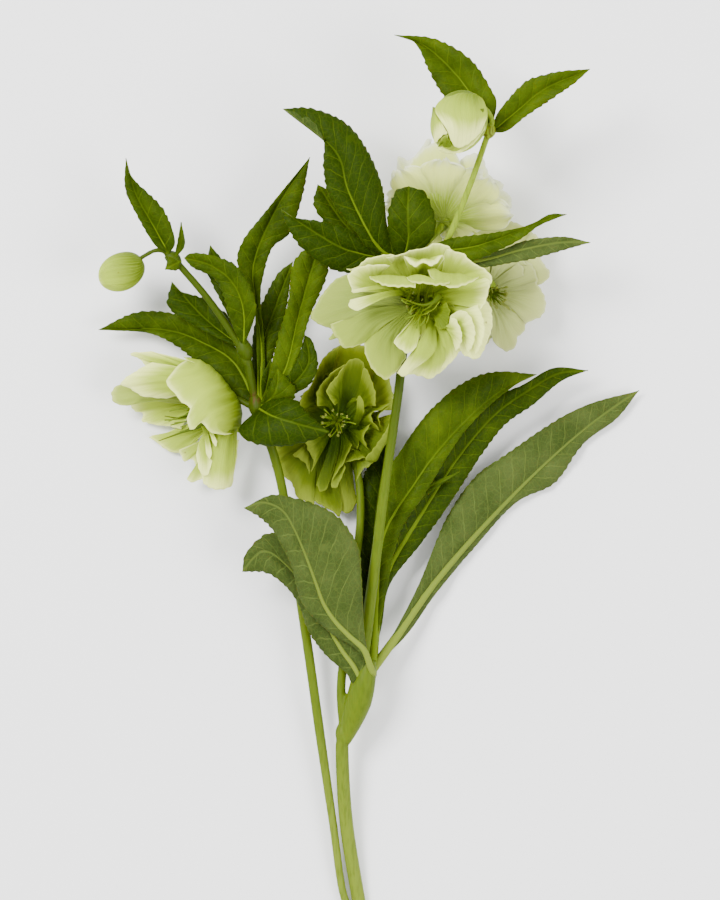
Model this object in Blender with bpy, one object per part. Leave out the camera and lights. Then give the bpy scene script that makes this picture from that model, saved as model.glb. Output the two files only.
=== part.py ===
"""A cut flowering stem of a double hellebore, lying on its back on a flat surface.

The stem lies along Y with its cut end at -Y, and the side that faced the viewer points up.
Lengths in the tables of shapes are millimetres in the plant's own layout: X to the right, Y up
the stem, Z away from the surface. MM turns them into metres, and ORIGIN moves the layout so that
the object's box stands on the origin.
"""

import math

import bmesh
import bpy
import numpy as np

MM = 0.001
ORIGIN = np.array((-0.44, 163.73, 0.0))

# Driving sizes, in millimetres.
CLEARANCE = 0.35
LEAF_THICKNESS = 0.8
PETAL_THICKNESS = 0.75
CORE_RADIUS = 4.6
CORE_HALF_HEIGHT = 2.4
PETAL_ROOT_RADIUS = 2.6

# How finely the coarse solids are cut.
STEM_SIDES = 8
LEAF_STATIONS = 13
PETAL_ROWS = 4
PETAL_COLUMNS = 3
TOOTH_DEPTH = 0.9
STAMENS = 5

LEAF_GREEN = (0.10, 0.22, 0.02, 1.0)
STEM_GREEN = (0.33, 0.45, 0.12, 1.0)
PETAL_CREAM = (0.78, 0.84, 0.52, 1.0)
PETAL_WHITE = (0.88, 0.90, 0.80, 1.0)
PETAL_GREEN = (0.45, 0.60, 0.18, 1.0)
STAMEN_GREEN = (0.55, 0.62, 0.15, 1.0)


def remove_everything():
    """Empty the scene of objects."""
    for old in list(bpy.data.objects):
        bpy.data.objects.remove(old, do_unlink=True)


def material(name, colour, roughness):
    """A plain plant material."""
    made = bpy.data.materials.new(name)
    made.use_nodes = True
    shader = made.node_tree.nodes["Principled BSDF"]
    shader.inputs["Base Color"].default_value = colour
    shader.inputs["Roughness"].default_value = roughness
    shader.inputs["Metallic"].default_value = 0.0
    return made


def smooth_path(points, count):
    """Evenly spaced points on a smooth curve through the given points."""
    given = np.asarray(points, dtype=float)
    if len(given) == 2:
        share = np.linspace(0.0, 1.0, count)[:, None]
        return given[0] * (1.0 - share) + given[1] * share
    padded = np.vstack((2 * given[0] - given[1], given, 2 * given[-1] - given[-2]))
    fine = []
    for i in range(1, len(padded) - 2):
        p0, p1, p2, p3 = padded[i - 1:i + 3]
        for step in range(24):
            t = step / 24.0
            fine.append(0.5 * (2 * p1 + (p2 - p0) * t + (2 * p0 - 5 * p1 + 4 * p2 - p3) * t ** 2
                               + (3 * p1 - p0 - 3 * p2 + p3) * t ** 3))
    fine.append(given[-1])
    fine = np.array(fine)
    lengths = np.concatenate(([0.0], np.cumsum(np.linalg.norm(np.diff(fine, axis=0), axis=1))))
    wanted = np.linspace(0.0, lengths[-1], count)
    return np.column_stack([np.interp(wanted, lengths, fine[:, k]) for k in range(3)])


def unit(vector):
    """The vector at length one."""
    vector = np.asarray(vector, dtype=float)
    return vector / max(np.linalg.norm(vector), 1e-9)


def spread(values, count):
    """A short list of values, read evenly at count places."""
    return np.interp(np.linspace(0.0, 1.0, count), np.linspace(0.0, 1.0, len(values)), values)


def tube(points, radii, count, sides=STEM_SIDES):
    """A round stem through the points, with flat ends and one flat side facing down."""
    path = smooth_path(points, count)
    sizes = spread(radii, count)
    tangents = np.gradient(path, axis=0)
    upright = abs(unit(tangents[0])[2]) > 0.9
    normal = np.array((1.0, 0.0, 0.0) if upright else (0.0, 0.0, 1.0))
    corners = []
    for place, size, tangent in zip(path, sizes, tangents):
        along = unit(tangent)
        normal = unit(normal - along * normal.dot(along))
        across = np.cross(along, normal)
        for k in range(sides):
            angle = 2 * math.pi * (k + 0.5) / sides
            corners.append(place + size * (math.cos(angle) * normal + math.sin(angle) * across))
    faces = []
    for ring in range(count - 1):
        low, high = ring * sides, (ring + 1) * sides
        for k in range(sides):
            after = (k + 1) % sides
            faces.append((low + k, low + after, high + after, high + k))
    faces.append(tuple(range(sides - 1, -1, -1)))
    faces.append(tuple(range((count - 1) * sides, count * sides)))
    return np.array(corners), faces


def sheet(grid, thickness):
    """A closed blade: the grid of middle points, thickened evenly, its faces split alike."""
    rows, columns = grid.shape[:2]
    along = np.gradient(grid, axis=0)
    across = np.gradient(grid, axis=1)
    normals = np.cross(along, across)
    normals /= np.maximum(np.linalg.norm(normals, axis=2, keepdims=True), 1e-9)
    top = (grid + normals * thickness / 2).reshape(-1, 3)
    bottom = (grid - normals * thickness / 2).reshape(-1, 3)
    size = rows * columns

    def corner(r, c, side):
        return r * columns + c + side * size

    faces = []
    for r in range(rows - 1):
        for c in range(columns - 1):
            a, b, d, e = (r, c), (r + 1, c), (r + 1, c + 1), (r, c + 1)
            if c < (columns - 1) / 2:
                halves = ((a, b, d), (a, d, e))
            else:
                halves = ((a, b, e), (b, d, e))
            for half in halves:
                faces.append(tuple(corner(*p, 0) for p in half))
                faces.append(tuple(corner(*p, 1) for p in reversed(half)))
    rim = [(0, c) for c in range(columns)]
    rim += [(r, columns - 1) for r in range(1, rows)]
    rim += [(rows - 1, c) for c in range(columns - 2, -1, -1)]
    rim += [(r, 0) for r in range(rows - 2, 0, -1)]
    for first, second in zip(rim, rim[1:] + rim[:1]):
        faces.append((corner(*first, 0), corner(*second, 0), corner(*second, 1), corner(*first, 1)))
    return np.vstack((top, bottom)), faces


def leaf_grid(rib, left, right, lift, stations=LEAF_STATIONS):
    """The middle surface of a leaf from its rib and the outlines of its two halves."""
    middle = smooth_path(rib, stations)
    base, tip = np.array(rib[0], dtype=float), np.array(rib[-1], dtype=float)
    shares = np.linspace(0.0, 1.0, stations)
    grid = np.zeros((stations, 3, 3))
    grid[:, 1] = middle
    for column, outline, rise in ((0, left, lift[0]), (2, right, lift[1])):
        flat = [base * (1, 1, 0)] + [np.array((x, y, 0.0)) for x, y in outline] + [tip * (1, 1, 0)]
        edge = smooth_path(flat, stations)
        edge[:, 2] = middle[:, 2] + rise * np.sin(math.pi * shares) ** 0.7
        outward = edge - middle
        reach = np.linalg.norm(outward, axis=1, keepdims=True)
        outward = outward / np.maximum(reach, 0.01)
        edge = edge + outward * np.maximum(0.7 - reach, 0.0)
        turn = np.where(np.arange(stations) % 2 == 0, 0.5, -0.5)[:, None]
        grid[:, column] = edge + outward * turn * TOOTH_DEPTH * (reach > 2.5)
    across = unit(np.cross(middle[1] - middle[0], (0, 0, 1)))
    if np.dot(grid[2, 2] - grid[2, 0], across) < 0:
        across = -across
    for station, half in ((0, 1.1), (stations - 1, 0.5)):
        grid[station, 0] = middle[station] - half * across
        grid[station, 2] = middle[station] + half * across
    return grid


def petal_grid(azimuth, length, width, opening, curl, wave, rows=PETAL_ROWS,
               columns=PETAL_COLUMNS):
    """The middle surface of one petal in the bloom's own frame, whose axis is +Z.

    opening and curl are the petal's angles from the axis at its root and at its tip, in degrees.
    """
    turn = math.radians(azimuth)
    outward = np.array((math.cos(turn), math.sin(turn), 0.0))
    sideways = np.array((-math.sin(turn), math.cos(turn), 0.0))
    axis = np.array((0.0, 0.0, 1.0))
    grid = np.zeros((rows, columns, 3))
    place = outward * PETAL_ROOT_RADIUS
    shares = np.linspace(0.0, 1.0, rows)
    for row, share in enumerate(shares):
        lean = math.radians(opening + (curl - opening) * share)
        forward = math.sin(lean) * outward + math.cos(lean) * axis
        inward = math.cos(lean) * -outward + math.sin(lean) * axis
        if row:
            place = place + forward * length / (rows - 1)
        half = width / 2 * (0.10 + 0.90 * math.sin(math.pi * min(share * 0.70, 0.5)))
        if share > 0.75:
            half *= math.cos((share - 0.75) * 2.6)
        for column, side in enumerate(np.linspace(-1.0, 1.0, columns)):
            cup = 0.22 * half * side ** 2 * (1.0 - 0.4 * share)
            ripple = wave * share * math.sin(side * 4.2 + azimuth)
            back = length * 0.10 * side ** 2 * (share > 0.99)
            grid[row, column] = (place + sideways * side * half + inward * (cup + ripple)
                                 - forward * back)
    return grid


def bloom_frame(facing, roll=0.0):
    """The three axes of a bloom that looks along facing, as the columns of a matrix."""
    axis = unit(facing)
    right = np.array((1.0, 0.0, 0.0)) if abs(axis[0]) < 0.8 else np.array((0.0, 0.0, -1.0))
    right = unit(right - axis * right.dot(axis))
    up = np.cross(axis, right)
    turn = math.radians(roll)
    first = math.cos(turn) * right + math.sin(turn) * up
    return np.column_stack((first, np.cross(axis, first), axis))


def ball(radii, rings=6, sides=10):
    """A closed rounded body about the origin."""
    corners = [(0.0, 0.0, -radii[2])]
    for ring in range(1, rings):
        rise = -math.cos(math.pi * ring / rings)
        girth = math.sin(math.pi * ring / rings)
        for k in range(sides):
            angle = 2 * math.pi * k / sides
            corners.append((radii[0] * girth * math.cos(angle), radii[1] * girth * math.sin(angle),
                            radii[2] * rise))
    corners.append((0.0, 0.0, radii[2]))
    faces = []
    for k in range(sides):
        after = (k + 1) % sides
        faces.append((0, 1 + after, 1 + k))
        last = 1 + (rings - 2) * sides
        faces.append((last + k, last + after, len(corners) - 1))
        for ring in range(rings - 2):
            low = 1 + ring * sides
            faces.append((low + k, low + after, low + sides + after, low + sides + k))
    return np.array(corners), faces


def new_object(name, shape):
    """A mesh object from corners in millimetres and faces, with its faces pointing out."""
    corners, faces = shape
    mesh = bpy.data.meshes.new(name)
    mesh.from_pydata([tuple((p - ORIGIN) * MM) for p in corners], [], faces)
    work = bmesh.new()
    work.from_mesh(mesh)
    bmesh.ops.triangulate(work, faces=[f for f in work.faces if len(f.verts) == 4])
    bmesh.ops.recalc_face_normals(work, faces=work.faces)
    work.to_mesh(mesh)
    work.free()
    made = bpy.data.objects.new(name, mesh)
    bpy.context.scene.collection.objects.link(made)
    return made


def bake(target):
    """Apply the object's modifiers to its own mesh."""
    graph = bpy.context.evaluated_depsgraph_get()
    done = bpy.data.meshes.new_from_object(target.evaluated_get(graph))
    target.modifiers.clear()
    target.data = done


def keep_largest_body(target):
    """Drop loose scraps that a cut leaves beside the main body."""
    work = bmesh.new()
    work.from_mesh(target.data)
    unseen = set(work.verts)
    bodies = []
    while unseen:
        queue = [unseen.pop()]
        body = set(queue)
        while queue:
            for edge in queue.pop().link_edges:
                for corner in edge.verts:
                    if corner in unseen:
                        unseen.discard(corner)
                        body.add(corner)
                        queue.append(corner)
        bodies.append(body)
    bodies.sort(key=len, reverse=True)
    scraps = [corner for body in bodies[1:] for corner in body]
    if scraps:
        bmesh.ops.delete(work, geom=scraps, context="VERTS")
        work.to_mesh(target.data)
    work.free()


def fuse(name, shapes, finish, cutter=None):
    """One solid from overlapping shapes, cut clear of the cutter where one is given."""
    base = new_object(name, shapes[0])
    if len(shapes) > 1:
        group = bpy.data.collections.new(name + "_repeats")
        for number, shape in enumerate(shapes[1:]):
            extra = new_object(f"{name}_repeat_{number}", shape)
            bpy.context.scene.collection.objects.unlink(extra)
            group.objects.link(extra)
        bpy.context.scene.collection.children.link(group)
        join = base.modifiers.new("join", "BOOLEAN")
        join.operation = "UNION"
        join.operand_type = "COLLECTION"
        join.collection = group
        join.solver = "MANIFOLD"
        bake(base)
        for extra in list(group.objects):
            bpy.data.objects.remove(extra, do_unlink=True)
        bpy.data.collections.remove(group)
    if cutter is not None:
        cut = base.modifiers.new("clear", "BOOLEAN")
        cut.operation = "DIFFERENCE"
        cut.object = cutter
        cut.solver = "MANIFOLD"
        bake(base)
    keep_largest_body(base)
    base.data.materials.clear()
    base.data.materials.append(finish)
    base.data.shade_smooth()
    base.data.set_sharp_from_angle(angle=math.radians(50))
    return base


# Each stem: its route, its radii from root to tip and its number of rings.
STEMS = (
    ([(-1.6, -18, 2.59), (-2.6, -11, 2.59), (-4.8, 0, 2.59), (-9.6, 30.8, 7.0), (-11.2, 59.6, 11.5),
      (-10, 66, 12.2), (-7.2, 79, 15), (-3.2, 96, 18), (2.4, 137.2, 24.5), (5.6, 162.8, 28),
      (9.2, 188, 31.5), (12.2, 210, 34), (16.8, 255.2, 37)],
     (2.8, 2.8, 2.8, 2.7, 2.8, 2.4, 2.1, 2.0, 1.9, 1.9, 1.9), 16),
    ([(-3.4, -9, 2.8), (-10.4, 0, 3.4), (-15, 30.8, 6), (-20, 65.2, 9), (-26.2, 108.8, 13),
      (-35.6, 166.4, 16), (-44.8, 196.4, 20), (-50.5, 222, 23)],
     (1.6, 1.7, 2.0, 2.0, 1.9, 1.9, 1.9), 12),
    ([(-10.4, 66, 12), (-11.6, 84, 13), (-9.6, 104, 13.5), (-6.8, 128, 13.5), (-3.9, 152, 12),
      (-5.2, 172, 9), (-12.4, 191.6, 8)], (1.9, 1.9, 1.7, 1.6), 9),
    ([(-50.5, 222, 23), (-49.6, 214, 22.6), (-53.5, 224, 23.5), (-64.8, 240.4, 25),
      (-76, 253.6, 27), (-80.8, 258.8, 28)], (1.7, 1.7, 1.5, 1.4), 7),
    ([(-80.8, 258.8, 28), (-84, 260, 28.4), (-87.2, 259.4, 28.4), (-92.6, 256.3, 28)],
     (1.1, 0.95, 0.95), 5),
    ([(-45.2, 196, 20), (-50, 198.8, 19.4), (-55, 201.2, 17.4), (-57.4, 201.8, 16.2)],
     (1.4, 1.3, 1.3), 4),
    ([(16.8, 255.2, 37), (24, 258.5, 38.5), (30, 262, 40), (40, 286, 44), (47.2, 306.6, 47)],
     (1.7, 1.4, 1.3, 1.3), 7),
    ([(47.2, 306.6, 47), (48.6, 311, 50.5), (46.4, 315, 55), (43.6, 316.6, 57.6)],
     (1.3, 1.1, 1.1), 4),
    ([(16.8, 255.2, 37), (18.4, 249, 42), (19.4, 243.4, 46.4)], (1.6, 1.3), 3),
    ([(16.8, 255.2, 37), (22, 262, 34), (27.2, 267.6, 28), (28.9, 270.6, 26.4)], (1.5, 1.3), 4),
    ([(16.8, 255.2, 37), (26, 251, 29), (36, 247, 16), (43, 245.4, 10)], (1.5, 1.3), 4),
)

# Each leaf: rib from root to tip, left and right outline, rise of each edge over the rib.
TOP_BRACT = (
    ([(48, 307, 47), (42.5, 318, 45), (34, 330, 43), (22, 341, 42), (9.6, 345.6, 42)],
     [(41, 311), (30, 320), (22.8, 332), (20.4, 338), (16.8, 343.2)],
     [(50.4, 317.2), (48.8, 322.8), (40.4, 335.6), (26, 344)], (2.5, 2.0)),
    ([(48.2, 306.4, 47), (58, 314.5, 48), (70, 324, 50), (87.6, 331.6, 52)],
     [(51, 314.5), (60.8, 326), (68.4, 329.2), (76, 330.8)],
     [(54.5, 307), (62.8, 313.2), (73.2, 320), (81.6, 326)], (2.0, 2.0)),
)
BUD_B_BRACT = (
    ([(-80.4, 258.4, 30), (-86.6, 269.5, 31), (-93.5, 282, 32), (-97.6, 296.8, 33)],
     [(-86.4, 262.4), (-93.6, 274.4), (-98, 284.8)],
     [(-78, 264), (-82.8, 276.8), (-95.2, 289.2)], (1.5, 1.5)),
    ([(-78.4, 256.5, 30), (-75.8, 262, 31), (-75.5, 271.2, 31)],
     [(-77.3, 262)], [(-74, 262)], (0.5, 0.5)),
    ([(-76, 255.5, 29.6), (-79.5, 253.8, 31), (-82, 252.2, 31)],
     [(-80, 257.5)], [(-77, 252)], (-0.5, -0.5)),
)
LEFT_UPPER_BRACT = (
    ([(-50.6, 221, 25), (-50.6, 236, 31), (-55, 247, 33), (-64, 254, 33), (-74.4, 256.8, 32)],
     [(-55.2, 230), (-59.2, 242.8), (-63.2, 249.2), (-70.8, 252.8)],
     [(-45.6, 235.6), (-47.6, 244.8), (-53.6, 254), (-64, 258), (-71.2, 258.8)], (-1.5, 2.0)),
    ([(-51.9, 223.3, 25.2), (-56.5, 243, 26), (-64, 262, 25)],
     [(-58, 236), (-65.5, 252)], [(-51, 240), (-57.5, 254)], (1.0, 1.0)),
    ([(-51, 221, 21), (-66, 232.5, 17), (-79.6, 247.6, 17)],
     [(-57, 223), (-80, 236)], [(-57, 234), (-67.6, 241.2), (-76, 243.6)], (1.0, 1.0)),
)
LEFT_LOWER_BRACT = (
    ([(-45.4, 198, 17), (-54, 214.5, 12), (-66, 222.6, 10), (-82, 228.2, 9), (-109.2, 228.4, 8)],
     [(-53.2, 199.5), (-61.6, 209.2), (-68.4, 214), (-78.4, 222), (-89.2, 227), (-102.8, 228)],
     [(-49, 214), (-58, 225.2), (-70, 232), (-82.4, 235.6), (-95.2, 235.2)], (1.0, 2.0)),
    ([(-44.4, 198, 22.6), (-43.6, 219, 19.6), (-45.6, 238, 20), (-46.5, 255, 22), (-37, 278, 26), (-24, 297.2, 30)],
     [(-45.2, 215), (-46.8, 240), (-53.2, 254.4), (-51, 264), (-43.2, 274)],
     [(-42, 215), (-43.8, 240), (-42.6, 250), (-38.8, 261.2), (-32, 267), (-27, 281)],
     (2.5, 1.0)),
    ([(-44, 198.6, 22.6), (-34, 212, 26), (-29, 232, 28), (-24, 250, 31), (-19, 266, 32)],
     [(-41, 207), (-37.2, 224.4), (-32.8, 239.6), (-30.4, 255.6)],
     [(-33, 207.5), (-28.8, 216), (-24, 233.2), (-16.5, 252)], (1.5, 1.5)),
    ([(-44.6, 200, 18), (-43.4, 220, 17), (-37.6, 238, 17.5), (-31, 255.6, 19)],
     [(-47.2, 215), (-46, 232), (-38, 249.5)],
     [(-40, 214), (-34, 234)], (-1.0, 1.5)),
    ([(-43.1, 199.9, 22.2), (-41, 208, 25.4), (-39.6, 216.6, 26)],
     [(-43.4, 209)], [(-37.4, 206)], (0.5, 0.5)),
    ([(-42.6, 198.6, 21), (-31, 206.5, 26), (-24.6, 215, 28), (-26, 226, 28)],
     [(-34, 209), (-29, 217)], [(-26, 204.6), (-20.8, 213.2), (-22.8, 223.2)], (0.5, 0.5)),
    ([(-43.8, 197, 22.9), (-38, 203, 33), (-36.8, 212.4, 31)],
     [(-42, 201.6), (-39.6, 207)], [(-32, 199), (-29.6, 204), (-32.4, 208)], (-0.5, -1.5)),
    ([(-44.6, 196.6, 23), (-38.6, 193.4, 35), (-28, 190.2, 38.5), (-16.4, 187.2, 35)],
     [(-39, 201), (-29.6, 200), (-25, 195)],
     [(-52.6, 188), (-46, 182.4), (-33.2, 181.4), (-21.2, 184.6)], (-1.5, -3.5)),
)
MIDDLE_BRACT = (
    ([(12.8, 256.4, 40.2), (4.4, 259.6, 42), (-2, 269, 45), (-9, 284, 47), (-14, 299, 47),
      (-34.8, 316, 45)],
     [(-0.4, 260.4), (-6, 267.2), (-16, 280), (-18.8, 292.4), (-18.6, 304), (-24.4, 312.4)],
     [(10, 262), (6.8, 269.6), (5, 285), (-1.2, 300), (-10, 310.8), (-23.6, 316.4)],
     (1.5, -1.5)),
    ([(12.4, 255.2, 38.8), (-4, 258.5, 40), (-15, 262.6, 41.4), (-35.6, 276, 43)],
     [(1, 251.6), (-9, 250.6), (-17, 252.8), (-26, 259.2), (-31.6, 266)],
     [(0, 262), (-10, 269), (-20, 271.4), (-30.4, 272.8)], (-0.5, 1.5)),
    ([(13, 255.6, 40), (15.2, 264, 44), (15, 275, 46), (15.4, 285.2, 42)],
     [(8, 263), (6.8, 273), (10, 283)], [(22, 261), (26.4, 269), (22.6, 282)], (-1.5, -1.5)),
    ([(12, 256, 37.8), (-8, 268, 38.6), (-21, 286, 39)],
     [(-8, 262), (-22, 276)], [(-4, 272), (-15.6, 283)], (0.5, 0.5)),
    ([(18.6, 256.4, 40.4), (30, 259.4, 43), (41, 261, 44), (53, 265, 44.6), (66, 270.6, 44),
      (78.4, 274, 42)],
     [(24, 261), (33, 264.6), (48.8, 266.6), (63.2, 269.6), (71.6, 274)],
     [(34, 255.6), (42.4, 255.6), (58.8, 263.2), (67.6, 269.4)], (0.5, 1.5)),
    ([(18.6, 254.4, 38.6), (30, 254, 39.4), (46, 256, 40.4), (60, 259.8, 40.4), (76, 262.8, 40),
      (88, 262.8, 39)],
     [(36, 257.6), (51.2, 259.6), (62, 263.6), (76.8, 265.2)],
     [(30, 252), (45.6, 252.8), (55.2, 254.4), (65.2, 256.2), (80.4, 260.6)], (1.0, 0.5)),
)
LOWER_BRACT = (
    ([(0.2, 93, 23), (-2.4, 100, 26), (-11.2, 108.4, 29), (-18, 117.4, 31), (-23.5, 132, 33),
      (-29.2, 146, 34.5), (-34.8, 155.6, 35), (-42.6, 159, 34.5), (-50.4, 156.8, 33)],
     [(-6, 100.6), (-17, 107.6), (-27.4, 119), (-31.6, 134), (-37.4, 145.6), (-43, 152)],
     [(-3, 103), (-7.6, 112.6), (-3.9, 120), (-3.4, 131), (-4.6, 141.4), (-11.6, 152.4),
      (-20, 157.8), (-31, 161.2), (-40, 162)], (-2.5, 1.0)),
    ([(-4, 90.4, 21), (-13, 102.4, 22), (-22, 119.6, 23), (-33.6, 134, 25), (-43, 139.4, 25),
      (-51.2, 131.2, 23)],
     [(-8.4, 89), (-18, 98), (-24.6, 107), (-28.2, 117), (-33, 124.4), (-41, 130.4)],
     [(-9, 106), (-15, 121), (-27, 140), (-40, 147), (-49.6, 139)], (-1.0, 0.5)),
    ([(1, 95, 18), (2.6, 118, 16), (5.6, 146, 16), (17.6, 166, 18), (25.2, 177, 19),
      (36.8, 190, 20), (51, 202.4, 20), (66.8, 210.4, 19)],
     [(0, 120), (2.4, 146), (7, 170), (13.6, 182), (24, 196), (37, 207), (50, 211.6)],
     [(6, 120), (12, 146), (22.6, 163), (35, 183.4), (46, 196), (58.8, 206.4)], (2.5, 0.5)),
    ([(1, 93, 15.6), (4.4, 124.8, 13), (12.4, 140.8, 12), (19, 151.6, 12), (34, 175, 13),
      (50, 194, 14), (66, 205.4, 15), (76, 210.8, 15), (87.6, 212, 14)],
     [(0.4, 125), (5, 146), (14, 164), (28, 184), (44, 199.6), (60, 205.6), (73.6, 213)],
     [(4.8, 110), (8, 126), (20.4, 142), (31.6, 157.6), (44, 176.6), (54, 189.6), (66, 198.4),
      (77, 207.6)], (1.0, -2.0)),
    ([(0.6, 91.4, 15.4), (12.4, 107.4, 10), (22, 121.4, 7), (36, 138.4, 5), (52.4, 156.4, 4.5),
      (68, 172, 4.5), (84, 186.4, 4.5), (99.2, 198, 4.0), (108.4, 204, 3.5)],
     [(11, 109), (19.6, 126), (30.4, 152), (42, 169), (56, 179.4), (72, 190.4), (88, 198.6)],
     [(15, 106), (26, 121.4), (41, 139.4), (58.4, 158.4), (74.8, 166.8), (86, 182.4),
      (99.4, 192.6)], (2.5, -2.0)),
    ([(-0.4, 92.4, 14.8), (1, 120, 9), (2, 150, 7.4), (8, 190, 8)],
     [(-5, 128), (-4, 165)], [(7, 128), (10, 165)], (-1.0, 1.0)),
    ([(4.6, 125.4, 13.0), (8.4, 149.4, 15), (18.8, 161.6, 16), (36, 171.4, 16.5)],
     [(6, 148), (17, 163)], [(10, 147), (21.4, 160.4)], (0.4, 0.4)),
)

# The sleeve-like foot of each bract, round the stem: route, radii and rings.
FEET = {
    "lower": ([(-10.4, 62.4, 12), (-7.4, 71, 13.4), (-4.2, 80, 15.8), (-2, 88, 18), (0, 96, 19)],
              (3.7, 4.7, 5.2, 4.9, 4.2), 7),
    "left_lower": ([(-43.6, 192.4, 19.6), (-45, 197, 20.4), (-46.2, 202, 21)], (3.0, 3.6, 3.0), 4),
    "left_upper": ([(-49, 216, 22.5), (-50.2, 220, 23), (-51.6, 224.4, 23.4)], (2.8, 3.2, 2.8), 4),
    "bud_b": ([(-81.4, 258.4, 28), (-79, 256.8, 27.8), (-76.4, 254, 27.2)], (2.7, 2.9, 2.4), 4),
    "middle": ([(13.8, 250.4, 36.9), (15.2, 253.6, 37.6), (17.2, 257, 38.4)], (3.2, 4.6, 4.4), 4),
    "top": ([(46.4, 304.6, 46.6), (47.2, 306.6, 47), (48, 309.4, 48.6)], (2.5, 2.8, 2.4), 4),
}

# Each bloom: receptacle, the way it faces, and its petals as azimuth, length, width, angle
# from the axis at the root and at the tip, and wave.
BLOOMS = {
    "front": ((20.0, 241.5, 48.5), (-0.10, -0.28, 0.95), 0.0, (
        (188, 43, 27, 82, 62, 1.5), (214, 38, 25, 84, 66, -1.2), (246, 33, 24, 82, 64, 1.0),
        (280, 30, 24, 80, 60, -1.4), (315, 32, 24, 78, 58, 1.2), (350, 29, 24, 74, 52, -1.0),
        (25, 30, 24, 66, 46, 1.0), (62, 27, 22, 58, 38, -1.0), (100, 25, 22, 54, 34, 1.2),
        (140, 30, 22, 64, 44, -1.2), (164, 36, 20, 72, 54, 1.0),
        (200, 30, 14, 62, 40, 1.2), (265, 24, 13, 58, 38, -1.0), (330, 23, 13, 54, 36, 1.0),
        (50, 20, 13, 42, 26, -1.0), (122, 22, 13, 44, 28, 1.0))),
    "left": ((-59.6, 201.6, 16.05), (-0.82, -0.44, 0.38), 0.0, (
        (0, 37, 26, 62, 34, 1.0), (51, 36, 26, 60, 34, -1.2), (103, 37, 26, 64, 38, 1.2),
        (154, 36, 25, 60, 34, -1.0), (206, 33, 25, 60, 32, 1.0), (257, 37, 25, 64, 40, -1.0),
        (312, 43, 25, 64, 40, 1.2),
        (25, 28, 13, 44, 22, 1.0), (120, 28, 13, 44, 22, -1.0), (210, 27, 13, 42, 20, 1.0),
        (300, 29, 13, 46, 26, -1.0))),
    "centre": ((-12.6, 191.6, 10.5), (0.0, -0.05, 1.0), 0.0, (
        (20, 22, 21, 76, 64, 1.0), (65, 27, 22, 74, 64, -1.0), (108, 30, 22, 76, 68, 1.0),
        (150, 27, 21, 78, 72, -1.0), (190, 27, 21, 78, 72, 1.0), (230, 33, 22, 78, 70, -1.0),
        (268, 36, 23, 78, 68, 1.0), (304, 30, 22, 80, 72, -1.0), (342, 19, 18, 76, 66, 1.0),
        (40, 19, 12, 54, 34, -1.0), (125, 21, 12, 54, 34, 1.0), (215, 21, 12, 54, 34, -1.0),
        (300, 21, 12, 54, 34, 1.0))),
    "back_top": ((29.4, 273.2, 24.85), (0.18, 0.74, -0.62), 0.0, (
        (350, 31, 23, 66, 50, 1.0), (308, 33, 24, 64, 48, -1.0), (265, 34, 24, 62, 46, 1.0),
        (224, 32, 23, 64, 46, -1.0), (184, 27, 22, 66, 48, 1.0), (125, 24, 21, 66, 50, -1.0),
        (60, 24, 21, 66, 50, 1.0),
        (290, 21, 13, 42, 24, 1.0), (200, 19, 13, 42, 24, -1.0), (90, 17, 13, 42, 24, 1.0))),
    "back_right": ((47.4, 244.4, 11.0), (0.26, -0.12, 0.96), 0.0, (
        (5, 27, 22, 74, 56, 1.0), (48, 30, 24, 74, 56, -1.0), (92, 30, 24, 74, 58, 1.0),
        (140, 24, 22, 76, 62, -1.0), (190, 22, 21, 78, 64, 1.0), (238, 25, 22, 78, 60, -1.0),
        (282, 27, 22, 76, 58, 1.0), (323, 27, 22, 74, 56, -1.0),
        (25, 19, 12, 52, 34, -1.0), (110, 19, 12, 52, 34, 1.0), (205, 16, 12, 52, 34, -1.0),
        (300, 19, 12, 52, 34, 1.0))),
}

# Each bud: middle, the way its tip points, half length and radius.
BUDS = {
    "top": ((35.4, 310.6, 59.5), (-0.62, -0.52, -0.06), 13.4, 11.2),
    "left": ((-99.8, 251.4, 27.2), (-0.85, -0.52, 0.0), 9.2, 7.3),
}
BUD_STEP = 0.07
BUD_RINGS = 8
BUD_SIDES = 15


def bud_shape(middle, pointing, half_length, radius):
    """A closed bud whose outer sepals overlap round it like the leaves of a screw."""
    corners, faces = ball((radius, radius, half_length), BUD_RINGS, BUD_SIDES)
    shaped = []
    for x, y, z in corners:
        share = z / half_length
        turn = math.degrees(math.atan2(y, x)) + 35.0 * share
        step = (turn % 72.0) / 72.0
        girth = 1.0 + BUD_STEP * (step - 0.5) - 0.10 * max(share, 0.0) ** 2
        shaped.append((x * girth, y * girth, z))
    return np.array(shaped) @ bloom_frame(pointing).T + np.array(middle), faces


def bloom_shapes(receptacle, facing, roll, petals):
    """The receptacle and the petals of one bloom, overlapping at their roots."""
    frame = bloom_frame(facing, roll)
    middle = np.array(receptacle)
    corners, faces = ball((CORE_RADIUS, CORE_RADIUS, CORE_HALF_HEIGHT))
    shapes = [(corners @ frame.T + middle, faces)]
    for petal in petals:
        grid = petal_grid(*petal)
        shapes.append(sheet(grid @ frame.T + middle, PETAL_THICKNESS))
    return shapes


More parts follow.
